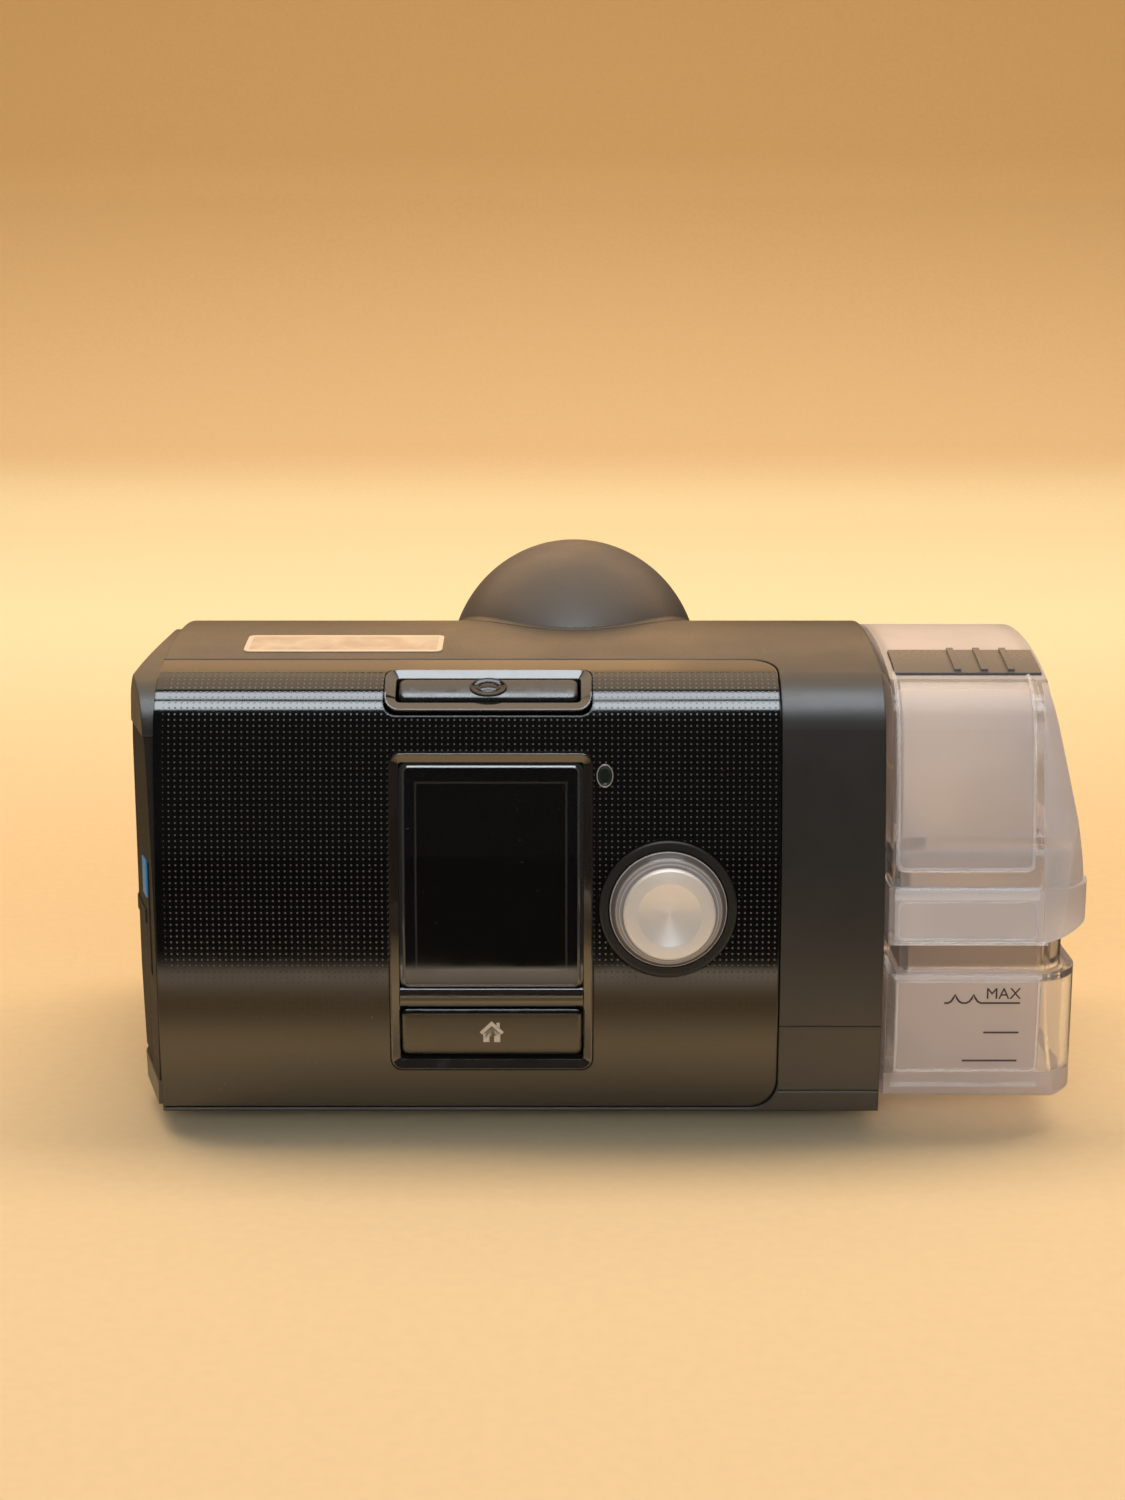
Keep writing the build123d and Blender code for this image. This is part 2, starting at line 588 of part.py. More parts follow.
def adapter_port():
    depth = 5.8
    body = block(CASE_L - 3.0, CASE_L + depth, PORT_Y0, PORT_Y1, PORT_Z0, PORT_Z1)
    body -= block(CASE_L - 4.0, CASE_L + depth - 1.5, PORT_Y0 + 2, PORT_Y1 - 2, PORT_Z0 + 2, PORT_Z1 - 2)
    middle = (PORT_Z0 + PORT_Z1) / 2
    tongue = block(CASE_L - 1.5, CASE_L + depth - 1.0, PORT_Y0 + 4, PORT_Y1 - 4, middle - 1, middle + 1)
    return body + tongue


def card_left():
    """Outer end of the card, just inside the panel's slanted face."""
    return CASE_L - 0.6 - POD_SLANT * (CARD_Y + CARD_T / 2 - POD_NOSE_FRONT) + 0.8


def sd_card():
    x0 = card_left()
    card = block(x0, x0 + CARD_L, CARD_Y, CARD_Y + CARD_T, CARD_BOTTOM, CARD_BOTTOM + CARD_W)
    notch = Pos(x0 + CARD_L, CARD_Y + CARD_T / 2, CARD_BOTTOM + CARD_W) * Rot(0, 45, 0) * Box(5.6, 5, 5.6)
    return card - notch


def sd_socket():
    x0, x1 = CASE_L + WALL + SEAM, card_left() + CARD_L + 2.0
    shell = block(x0, x1, CARD_Y - 0.8, BOARD_Y, CARD_BOTTOM - 1.6, CARD_BOTTOM + CARD_W + 1.6)
    way = block(x0 - OVER, x1 - 1.5, CARD_Y - GAP, CARD_Y + CARD_T + 0.2, CARD_BOTTOM - GAP,
                CARD_BOTTOM + CARD_W + GAP)
    return shell - way


# ---------------------------------------------------------------- screen, buttons, dial
def bezel_cutter(width, z0, z1, sink, radius):
    """Window through the bezel that flares out to the front in a bevel."""
    middle = (z0 + z1) / 2
    plane = front_plane(SCREEN_X, middle)
    hole = extrude(plane.offset(-10) * RectangleRounded(width, z1 - z0, radius), amount=20)
    floor = RectangleRounded(width, z1 - z0, radius)
    flare = RectangleRounded(width + 2 * BEVEL, z1 - z0 + 2 * BEVEL, radius + BEVEL)
    bow = FRONT_R - sqrt(FRONT_R ** 2 - ((z1 - z0) / 2) ** 2)
    slope = loft([plane.offset(-sink) * floor, plane.offset(sink * 0.2 + bow) * flare])
    return hole + slope


def screen_bezel():
    """Frame round the screen and the home button."""
    x0, x1 = SCREEN_X - BEZEL_W / 2, SCREEN_X + BEZEL_W / 2
    frame = skin(CASE_L, CASE_R, -0.25, BEZEL_T) & front_prism(x0, x1, BEZEL_BOTTOM, BEZEL_TOP, BEZEL_CORNER)
    frame -= bezel_cutter(WINDOW_W, WINDOW_BOTTOM, WINDOW_TOP, WINDOW_SINK, 1.2)
    frame -= bezel_cutter(HOME_W + 2 * GAP, HOME_BOTTOM - GAP, HOME_TOP + GAP, 0.5, 1.4)
    return frame


def window_prism(margin):
    """Rounded rectangle inside the bezel's window, square to the panel at its middle."""
    plane = front_plane(SCREEN_X, (WINDOW_BOTTOM + WINDOW_TOP) / 2)
    return prism_on(plane, WINDOW_W - 2 * margin, WINDOW_TOP - WINDOW_BOTTOM - 2 * margin, 1.1, 10, 10)


def screen_window():
    return skin(CASE_L, CASE_R, WINDOW_SINK, WINDOW_SINK + WINDOW_T) & window_prism(SEAM)


def lcd_panel():
    start = WINDOW_SINK + WINDOW_T + SEAM
    return skin(CASE_L, CASE_R, start, start + LCD_T) & window_prism(2 * SEAM)


def home_button():
    cap = skin(CASE_L, CASE_R, 0.1, 0.1 + BUTTON_T)
    cap &= front_prism(SCREEN_X - HOME_W / 2, SCREEN_X + HOME_W / 2, HOME_BOTTOM, HOME_TOP, 1.2)
    z = (HOME_BOTTOM + HOME_TOP) / 2
    stem = rod(1.8, (SCREEN_X, front_y(z) + BUTTON_T - 0.6, z),
               (SCREEN_X, HOME_SWITCH_Y - BUTTON_TRAVEL - 0.2, z))
    return cap + stem


HOME_SWITCH_Y = BOARD_Y - 3.4
START_STEM = 9.0         # start button's stem, from the surface inwards


def start_button_frame():
    """Bevelled frame on the top corner, with legs to its switch board."""
    seat = corner_plane(START_X, START_ANGLE)
    ring = skin(CASE_L, CASE_R, -0.35, START_FRAME_T) & prism_on(seat, START_FRAME_W, START_FRAME_H, 2.4, 8, 8)
    hole = prism_on(seat, START_W + 2 * GAP, START_H + 2 * GAP, 1.7, 8, 12)
    flare = loft([seat.offset(-1.6) * RectangleRounded(START_W + 2 * GAP, START_H + 2 * GAP, 1.7),
                  seat.offset(0.9) * RectangleRounded(START_W + 5.0, START_H + 4.6, 3.0)])
    ring = ring - hole - flare
    for side in (-1, 1):
        origin = seat.origin + seat.x_dir * side * (START_FRAME_W / 2 - 1.2)
        leg = Plane(origin, x_dir=seat.x_dir, z_dir=seat.z_dir)
        ring += extrude(leg.offset(-START_STEM - 3.0) * Rectangle(2.0, 5.0), amount=START_STEM + 1.4)
    return ring


def start_button():
    seat = corner_plane(START_X, START_ANGLE)
    cap = skin(CASE_L, CASE_R, 0.3, 0.3 + BUTTON_T) & prism_on(seat, START_W, START_H, 1.5, 8, 8)
    cap -= extrude(seat.offset(-1.4) * Ellipse(LENS_W / 2 + SEAM, LENS_H / 2 + SEAM), amount=8)
    stem = extrude(seat.offset(-START_STEM + BUTTON_TRAVEL + 0.2) * Circle(1.8),
                   amount=START_STEM - BUTTON_TRAVEL - 0.2 - 2.4)
    return cap + stem


def start_lens():
    seat = corner_plane(START_X, START_ANGLE)
    lens = extrude(seat.offset(-1.3) * Ellipse(LENS_W / 2, LENS_H / 2), amount=8)
    return lens & case(CASE_L, CASE_R, 0.1)


def button_switches():
    """Tactile switches: the home one on the main board, the start one on its own small board."""
    z = (HOME_BOTTOM + HOME_TOP) / 2
    home = block(SCREEN_X - 3, SCREEN_X + 3, HOME_SWITCH_Y + 1.0, BOARD_Y, z - 3, z + 3)
    home += rod(1.6, (SCREEN_X, HOME_SWITCH_Y, z), (SCREEN_X, HOME_SWITCH_Y + 1.5, z))
    seat = corner_plane(START_X, START_ANGLE)
    start = extrude(seat.offset(-START_STEM - 3.0) * Rectangle(6, 6), amount=2.0)
    start += extrude(seat.offset(-START_STEM - 1.5) * Circle(1.6), amount=1.5)
    board = extrude(seat.offset(-START_STEM - 4.4) * Rectangle(START_FRAME_W, 7.0), amount=1.4)
    return home + start + board


def sensor_lens():
    plane = front_plane(SENSOR_X, SENSOR_Z)
    lens = extrude(plane.offset(-4.0) * Ellipse(SENSOR_W / 2, SENSOR_H / 2), amount=5)
    return lens & case(CASE_L, CASE_R, -0.3)


def dial_ring():
    """Fixed dark ring round the dial."""
    plane = front_plane(DIAL_X, DIAL_Z)
    ring = extrude(plane.offset(-3.0) * Circle(DIAL_RING_D / 2), amount=3.7)
    ring = fillet(ring.faces().sort_by(Axis.Y)[0].edges(), 0.6)
    return ring - extrude(plane.offset(-6) * Circle(DIAL_SKIRT_D / 2 + GAP), amount=12)


SKIRT_BASE = -1.2
SKIRT_TOP = DIAL_PROUD - 2.2


def dial_skirt():
    """Translucent cone between the ring and the cap; it turns with the cap."""
    plane = front_plane(DIAL_X, DIAL_Z)
    cone = loft([plane.offset(SKIRT_BASE) * Circle(DIAL_SKIRT_D / 2),
                 plane.offset(1.2) * Circle(DIAL_SKIRT_D / 2 - 0.2),
                 plane.offset(SKIRT_TOP) * Circle(DIAL_CAP_D / 2 + 0.6)], ruled=True)
    return cone - extrude(plane.offset(SKIRT_BASE - OVER) * Circle(SHAFT_D / 2 + 0.02), amount=20)


def dial_cap():
    plane = front_plane(DIAL_X, DIAL_Z)
    cap = extrude(plane.offset(SKIRT_TOP) * Circle(DIAL_CAP_D / 2), amount=DIAL_PROUD_ALONG - SKIRT_TOP)
    cap = chamfer(cap.faces().sort_by(Axis.Y)[0].edges(), 0.9)
    dish = extrude(plane.offset(DIAL_PROUD_ALONG - 0.25) * Circle(6.4), amount=2)
    return cap - dish


DIAL_TILT = asin((DIAL_Z - FRONT_Z) / FRONT_R)
# Length along the tilted axis that puts the cap's foremost edge DIAL_PROUD in front of the panel.
DIAL_PROUD_ALONG = (DIAL_PROUD + front_y(DIAL_Z) - (DIAL_CAP_D / 2 - 0.9) * sin(DIAL_TILT)) / cos(DIAL_TILT)
ENCODER_FRONT = -4.0     # along the dial's axis, behind the panel's surface


def dial_shaft():
    plane = front_plane(DIAL_X, DIAL_Z)
    return extrude(plane.offset(ENCODER_FRONT - 1.4) * Circle(SHAFT_D / 2),
                   amount=SKIRT_TOP - ENCODER_FRONT + 1.4)


def dial_plunger():
    """Sleeve that the shaft turns in and that slides in the encoder when the dial is pressed."""
    plane = front_plane(DIAL_X, DIAL_Z)
    sleeve = extrude(plane.offset(ENCODER_FRONT - 2.8) * Circle(5.0), amount=4.6)
    hollow = extrude(plane.offset(ENCODER_FRONT - 1.5) * Circle(SHAFT_D / 2 + PIN_GAP), amount=12)
    return sleeve - hollow


def encoder_body():
    plane = front_plane(DIAL_X, DIAL_Z)
    body = extrude(plane.offset(-15.0) * Rectangle(14, 14), amount=15.0 + ENCODER_FRONT)
    body -= extrude(plane.offset(ENCODER_FRONT - 2.8 - DIAL_TRAVEL - 0.3) * Circle(5.0 + PIN_GAP), amount=20)
    return body & block(-FAR, FAR, -FAR, BOARD_Y, -FAR, FAR)


# ---------------------------------------------------------------- electronics
BOARD_L = CASE_L + 8.0


def main_board():
    board = block(BOARD_L, FASCIA_R - 2.0, BOARD_Y, BOARD_Y + BOARD_T, BOARD_BOTTOM, BOARD_TOP)
    for x in (SCREEN_X - 24, SCREEN_X - 8, SCREEN_X + 24):
        board += block(x - 4, x + 4, BOARD_Y + BOARD_T - 0.2, BOARD_Y + BOARD_T + 1.6, 44, 52)
    board += block(SCREEN_X - 10, SCREEN_X + 10, BOARD_Y - 2.0, BOARD_Y + 0.2, 40, 46)
    return board


def power_board():
    """Supply board lying on the bay's roof."""
    z = BAY_TOP + LINER_T
    board = block(CASE_R - 48, CASE_R - 8, 32, 88, z, z + 1.6)
    for y in (40, 52, 64):
        board += rod(4.0, (CASE_R - 40, y, z + 1.4), (CASE_R - 40, y, z + 11))
    board += block(CASE_R - 30, CASE_R - 14, 40, 58, z + 1.4, z + 12)
    return board


def power_inlet():
    """Round socket for the supply's plug."""
    y0 = BODY_DEPTH - 14
    body = block(INLET_X - 7, INLET_X + 7, y0, BODY_DEPTH - 0.4, INLET_Z - 6, INLET_Z + 6)
    body -= rod(INLET_R, (INLET_X, y0 + 3, INLET_Z), (INLET_X, BODY_DEPTH + OVER, INLET_Z))
    return body + rod(1.0, (INLET_X, y0 + 2, INLET_Z), (INLET_X, BODY_DEPTH - 4, INLET_Z))


CLIP_X = INLET_X + 13.0
CLIP_Y = BODY_DEPTH + 2.2
CLIP_H = 14.0
CLIP_R = 1.6
CLIP_PIN_R = 0.9


def clip_ears():
    """Two ears on the rear wall that carry the retention clip's pin."""
    ears = None
    for z0 in (INLET_Z - CLIP_H / 2 - 3.3, INLET_Z + CLIP_H / 2 + 0.3):
        ear = block(CLIP_X - 2.0, CLIP_X + 2.0, BODY_DEPTH - OVER, CLIP_Y, z0, z0 + 3.0)
        ear += rod(2.0, (CLIP_X, CLIP_Y, z0), (CLIP_X, CLIP_Y, z0 + 3.0))
        ears = ear if ears is None else ears + ear
    return ears - rod(CLIP_PIN_R + PIN_GAP, (CLIP_X, CLIP_Y, INLET_Z - 12), (CLIP_X, CLIP_Y, INLET_Z + 12))


def retention_clip():
    """Clip that swings over the supply's plug; folded flat away from the socket."""
    z0, z1 = INLET_Z - CLIP_H / 2, INLET_Z + CLIP_H / 2
    clip = rod(CLIP_R, (CLIP_X, CLIP_Y, z0), (CLIP_X, CLIP_Y, z1))
    clip += block(CLIP_X, CLIP_X + 17, CLIP_Y - 1.1, CLIP_Y + 1.1, z0, z1)
    clip -= block(CLIP_X + 6, CLIP_X + 18, CLIP_Y - 3, CLIP_Y + 3, INLET_Z - 3.2, INLET_Z + 3.2)
    return clip + rod(CLIP_PIN_R, (CLIP_X, CLIP_Y, z0 - 3.1), (CLIP_X, CLIP_Y, z1 + 3.1))


# ---------------------------------------------------------------- blower and air path
def blower_lower():
    """Motor well under the impeller chamber."""
    cup = rod(BLOWER_R, (BLOWER_X, BLOWER_Y, BLOWER_BOTTOM), (BLOWER_X, BLOWER_Y, BLOWER_SPLIT))
    cup -= rod(MOTOR_R + 0.4, (BLOWER_X, BLOWER_Y, BLOWER_BOTTOM + BLOWER_WALL), (BLOWER_X, BLOWER_Y, FAR))
    groove = tube(BLOWER_R - BLOWER_WALL, MOTOR_R + 3.0, (BLOWER_X, BLOWER_Y, BLOWER_BOTTOM + BLOWER_WALL),
                  (BLOWER_X, BLOWER_Y, FAR))
    return cup - groove


DUCT_R = 8.0
OUTLET_DUCT_R = 7.0
DUCT_WALL = 1.2
DUCT_Y = PORT_FRONT_Y
DUCT_END_X = CASE_R - BAY_DEPTH - LINER_T
DUCT_UP_X = DUCT_END_X - 11.0
VOLUTE_END = BLOWER_X + BLOWER_R + 3.0


def blower_upper():
    """Impeller chamber with an eye on top and a tangent outlet."""
    z_mid = PORT_Z - 3.5
    cap = rod(BLOWER_R, (BLOWER_X, BLOWER_Y, BLOWER_SPLIT), (BLOWER_X, BLOWER_Y, BLOWER_TOP))
    cap += rod(DUCT_R, (BLOWER_X + 10, DUCT_Y, z_mid), (VOLUTE_END, DUCT_Y, z_mid))
    cap -= rod(BLOWER_R - BLOWER_WALL, (BLOWER_X, BLOWER_Y, BLOWER_SPLIT - OVER),
               (BLOWER_X, BLOWER_Y, BLOWER_TOP - BLOWER_WALL))
    cap -= rod(DUCT_R - DUCT_WALL, (BLOWER_X + 12, DUCT_Y, z_mid), (VOLUTE_END + OVER, DUCT_Y, z_mid))
    return cap - rod(12.0, (BLOWER_X, BLOWER_Y, BLOWER_SPLIT), (BLOWER_X, BLOWER_Y, FAR))


IMPELLER_Z = BLOWER_SPLIT + 3.5


def impeller():
    """Backed wheel with curved blades."""
    wheel = rod(IMPELLER_R, (BLOWER_X, BLOWER_Y, IMPELLER_Z), (BLOWER_X, BLOWER_Y, IMPELLER_Z + 1.5))
    wheel += rod(5.0, (BLOWER_X, BLOWER_Y, IMPELLER_Z), (BLOWER_X, BLOWER_Y, IMPELLER_Z + 8.0))
    blade = Pos(BLOWER_X + 13.0, BLOWER_Y - 3.0, IMPELLER_Z + 5.0) * Rot(0, 0, -24) * Box(17.0, 1.2, 8.0)
    centre = Axis((BLOWER_X, BLOWER_Y, 0), (0, 0, 1))
    for i in range(9):
        wheel += blade.rotate(centre, 40.0 * i)
    return wheel - rod(MOTOR_SHAFT_R + 0.02, (BLOWER_X, BLOWER_Y, 0), (BLOWER_X, BLOWER_Y, FAR))


def motor_shaft():
    return rod(MOTOR_SHAFT_R, (BLOWER_X, BLOWER_Y, BLOWER_BOTTOM + 5), (BLOWER_X, BLOWER_Y, IMPELLER_Z + 7.5))


def blower_motor():
    can = rod(MOTOR_R, (BLOWER_X, BLOWER_Y, BLOWER_BOTTOM + BLOWER_WALL),
              (BLOWER_X, BLOWER_Y, BLOWER_SPLIT - 0.6))
    return can - rod(MOTOR_SHAFT_R + PIN_GAP, (BLOWER_X, BLOWER_Y, BLOWER_BOTTOM + 4.5),
                     (BLOWER_X, BLOWER_Y, FAR))


def blower_mounts():
    """Rubber posts between the plinth tray and the blower."""
    spots = [(BLOWER_X + 20 * cos(a), BLOWER_Y + 20 * sin(a)) for a in (pi / 2, pi * 7 / 6, pi * 11 / 6)]
    z0, z1 = PLINTH_BOTTOM + 2.2, BLOWER_BOTTOM
    return sum_of(rod(4.0, (x, y, z0), (x, y, z1)) - rod(1.5, (x, y, z0 - 1), (x, y, z1 - 3))
                  for x, y in spots)


def intake_muffler():
    """Foam block over the blower's eye."""
    right = min(BLOWER_X + 31, DUCT_UP_X - OUTLET_DUCT_R - GAP)
    foam = block(BLOWER_X - 31, right, BLOWER_Y - 32, BLOWER_Y + 36, BLOWER_TOP + GAP, BLOWER_TOP + 22)
    return foam - rod(12.0, (BLOWER_X, BLOWER_Y, 0), (BLOWER_X, BLOWER_Y, BLOWER_TOP + 14))


def inlet_duct():
    """Tube from the blower into the bay's front port."""
    z = PORT_Z - 3.5
    return tube(DUCT_R, DUCT_R - DUCT_WALL, (VOLUTE_END + 0.2, DUCT_Y, z), (DUCT_END_X, DUCT_Y, z))


def outlet_duct():
    """Bent tube from the bay's rear port up to the outlet."""
    z_top = OUTLET_Z - 1.0
    path = FilletPolyline([(DUCT_END_X, PORT_BACK_Y, PORT_Z), (DUCT_UP_X, PORT_BACK_Y, PORT_Z),
                           (DUCT_UP_X, PORT_BACK_Y, z_top), (DUCT_UP_X, HOOD_BACK - 12, z_top)], radius=8.4)
    start = Plane(origin=path @ 0, z_dir=path % 0)
    inner_r = OUTLET_DUCT_R - DUCT_WALL
    return sweep(start * Circle(OUTLET_DUCT_R), path=path) - sweep(start * Circle(inner_r), path=path)


def outlet_port():
    """Outlet cone with a collar inside the hood and a box that joins it to the duct."""
    y0 = HOOD_BACK - 12.0
    y_end = BODY_DEPTH + OUTLET_LENGTH
    body = rod(OUTLET_R, (HOOD_X, y0, OUTLET_Z), (HOOD_X, y_end, OUTLET_Z))
    body += rod(OUTLET_R + 2.0, (HOOD_X, y0, OUTLET_Z), (HOOD_X, HOOD_BACK - 0.2, OUTLET_Z))
    body += block(DUCT_UP_X - 8, HOOD_X + 6, y0, y0 + 5, OUTLET_Z - 9.5, OUTLET_Z + 7.0)
    body -= block(DUCT_UP_X - 5.5, HOOD_X, y0 + 1.2, y0 + 3.0, OUTLET_Z - 6.5, OUTLET_Z + 5.5)
    body -= rod(5.5, (DUCT_UP_X, y0 - OVER, OUTLET_Z - 1.0), (DUCT_UP_X, y0 + 2.0, OUTLET_Z - 1.0))
    body -= rod(OUTLET_BORE_R, (HOOD_X, y0 + 3.0, OUTLET_Z), (HOOD_X, y_end + OVER, OUTLET_Z))
    return body


def contact_zone(margin):
    """Where the contact block passes through the hood's rear wall."""
    z1 = OUTLET_Z - OUTLET_R - 2.0 - SEAM
    return block(HOOD_X - 7 - margin, HOOD_X + 7 + margin, HOOD_BACK - 5.0 - margin, HOOD_BACK + 6.0,
                 z1 - 5.0 - margin, z1 + margin)


def outlet_contacts():
    """Contact block under the cone for a heated tube."""
    body = contact_zone(0.0)
    y1 = HOOD_BACK + 6.0
    z = OUTLET_Z - OUTLET_R - 2.0 - SEAM - 2.5
    for side in (-1, 0, 1):
        body += rod(0.9, (HOOD_X + 4 * side, y1 - 0.2, z), (HOOD_X + 4 * side, y1 + 2.0, z))
    return body


def air_filter():
    y1 = BODY_DEPTH - WALL - 0.1
    return block(FILTER_X - 18, FILTER_X + 18, y1 - 5.0, y1, FILTER_BOTTOM + 3, FILTER_TOP - 3)


FILTER_AXIS_X = FILTER_X - FILTER_W / 2 + FILTER_COVER_T / 2
FILTER_AXIS_Y = BODY_DEPTH + FILTER_COVER_T / 2 + 0.1
FILTER_PIN_R = 0.8


def filter_ears():
    """Ears above and below the filter cover's hinge edge."""
    ears = None
    for z0, z1 in ((FILTER_BOTTOM - 3.3, FILTER_BOTTOM - GAP), (FILTER_TOP + GAP, FILTER_TOP + 3.3)):
        ear = rod(FILTER_COVER_T / 2, (FILTER_AXIS_X, FILTER_AXIS_Y, z0), (FILTER_AXIS_X, FILTER_AXIS_Y, z1))
        ear += block(FILTER_AXIS_X - 1.5, FILTER_AXIS_X + 1.5, BODY_DEPTH - OVER, FILTER_AXIS_Y, z0, z1)
        ears = ear if ears is None else ears + ear
    return ears - rod(FILTER_PIN_R + PIN_GAP, (FILTER_AXIS_X, FILTER_AXIS_Y, FILTER_BOTTOM - 2.4),
                      (FILTER_AXIS_X, FILTER_AXIS_Y, FILTER_TOP + 2.4))


def filter_cover():
    """Louvred cover that swings out on its left edge."""
    y0 = FILTER_AXIS_Y - FILTER_COVER_T / 2
    y1 = y0 + FILTER_COVER_T
    x1 = FILTER_X + FILTER_W / 2
    door = rod(FILTER_COVER_T / 2, (FILTER_AXIS_X, FILTER_AXIS_Y, FILTER_BOTTOM),
               (FILTER_AXIS_X, FILTER_AXIS_Y, FILTER_TOP))
    door += block(FILTER_AXIS_X, x1, y0, y1, FILTER_BOTTOM, FILTER_TOP)
    pitch = 4.0
    count = int((FILTER_TOP - FILTER_BOTTOM - 12) / pitch)
    for i in range(count + 1):
        z = FILTER_BOTTOM + 6 + pitch * i
        slot = Pos(FILTER_X + 1, FILTER_AXIS_Y, z) * Rot(35, 0, 0) * Box(28.0, 12.0, 1.5)
        door -= slot
    return door - rod(FILTER_PIN_R + 0.02, (FILTER_AXIS_X, FILTER_AXIS_Y, 0),
                      (FILTER_AXIS_X, FILTER_AXIS_Y, FAR))


def filter_pin():
    return rod(FILTER_PIN_R, (FILTER_AXIS_X, FILTER_AXIS_Y, FILTER_BOTTOM - 2.3),
               (FILTER_AXIS_X, FILTER_AXIS_Y, FILTER_TOP + 2.3))


# ---------------------------------------------------------------- humidifier bay
BAY_L = CASE_R - BAY_DEPTH
HEATER_X0, HEATER_X1 = BAY_L + 8, CASE_R - 8
HEATER_Y0, HEATER_Y1 = BAY_FRONT + 12, BAY_BACK - 12


def air_ports(x):
    """Front and rear air holes through a wall at x."""
    front_z = PORT_Z - 3.5
    front = rod(PORT_R - 1.5, (x - 5, PORT_FRONT_Y, front_z), (x + 5, PORT_FRONT_Y, front_z))
    return front + rod(PORT_R - 2.2, (x - 5, PORT_BACK_Y, PORT_Z), (x + 5, PORT_BACK_Y, PORT_Z))


def bay_liner():
    """Open box that the tub slides into."""
    shell = block(BAY_L - LINER_T, CASE_R - WALL, BAY_FRONT - LINER_T, BAY_BACK + LINER_T,
                  BAY_BOTTOM - LINER_T + 0.2, BAY_TOP + LINER_T)
    shell -= block(BAY_L, CASE_R, BAY_FRONT, BAY_BACK, BAY_BOTTOM, BAY_TOP)
    shell -= block(HEATER_X0 - SEAM, HEATER_X1 + SEAM, HEATER_Y0 - SEAM, HEATER_Y1 + SEAM,
                   0, BAY_BOTTOM + OVER)
    return (shell - air_ports(BAY_L)) & case(CASE_L, CASE_R, WALL + SEAM)


def heater_plate():
    """Metal plate in the bay's floor that heats the tub's own plate."""
    plate = block(HEATER_X0, HEATER_X1, HEATER_Y0, HEATER_Y1, BAY_BOTTOM - LINER_T + 0.2, BAY_BOTTOM + 0.1)
    return fillet(plate.edges().filter_by(Axis.Z), 4.0) & block(-FAR, FAR, -FAR, FAR, 0, FAR)


def bay_seals():
    """Soft rings between the bay's ports and the tub's."""
    seal_l, seal_r = BAY_L, BAY_L + TUB_CLEAR - 0.3
    front_z = PORT_Z - 3.5
    front = tube(PORT_R + 1.0, PORT_R - 1.5, (seal_l, PORT_FRONT_Y, front_z), (seal_r, PORT_FRONT_Y, front_z))
    back = tube(PORT_R + 0.5, PORT_R - 2.2, (seal_l, PORT_BACK_Y, PORT_Z), (seal_r, PORT_BACK_Y, PORT_Z))
    return front + back


# ---------------------------------------------------------------- tub
TUB_L = CASE_R + TUB_GAP          # left side of the part outside the casing
INNER_L = BAY_L + TUB_CLEAR       # left end of the part inside the bay
INNER_FRONT = BAY_FRONT + TUB_CLEAR
INNER_BACK = BAY_BACK - TUB_CLEAR
INNER_BOTTOM = BAY_BOTTOM + 0.5
INNER_TOP = BAY_TOP - TUB_CLEAR
TUB_CORNER = 11.0
LID_TOP_R = RIGHT - 8.3           # right side of the lid at its top
LID_SHOULDER_Z = 93.5             # the lid's right side leans in up to here, then stands upright
BASE_R = RIGHT - 2.0


def tub_envelope(x_right, inset, lean):
    """Outer form of the tub outside the casing; its right side leans in towards the top if lean is set."""
    form = case(TUB_L + inset, RIGHT, inset, SKIRT_Z - 3 * OVER)
    right = x_right - inset
    if lean:
        top, left, z_end = LID_TOP_R - inset, TUB_L - OVER, CREST_Z + OVER
        leaning = Polyline((left, 0), (right, 0), (right, BAND_TOP), (top, LID_SHOULDER_Z),
                           (top, z_end), (left, z_end), close=True)
        form &= extrude(Plane.XZ.offset(-FAR) * make_face(leaning), amount=2 * FAR)
    radius = TUB_CORNER - inset
    plan = plan_prism(TUB_L - 40, right, -0.6 + inset, TUB_BACK - inset, radius)
    return form & plan


def band(solid, z0, z1):
    return solid & block(-FAR, FAR, -FAR, FAR, z0, z1)


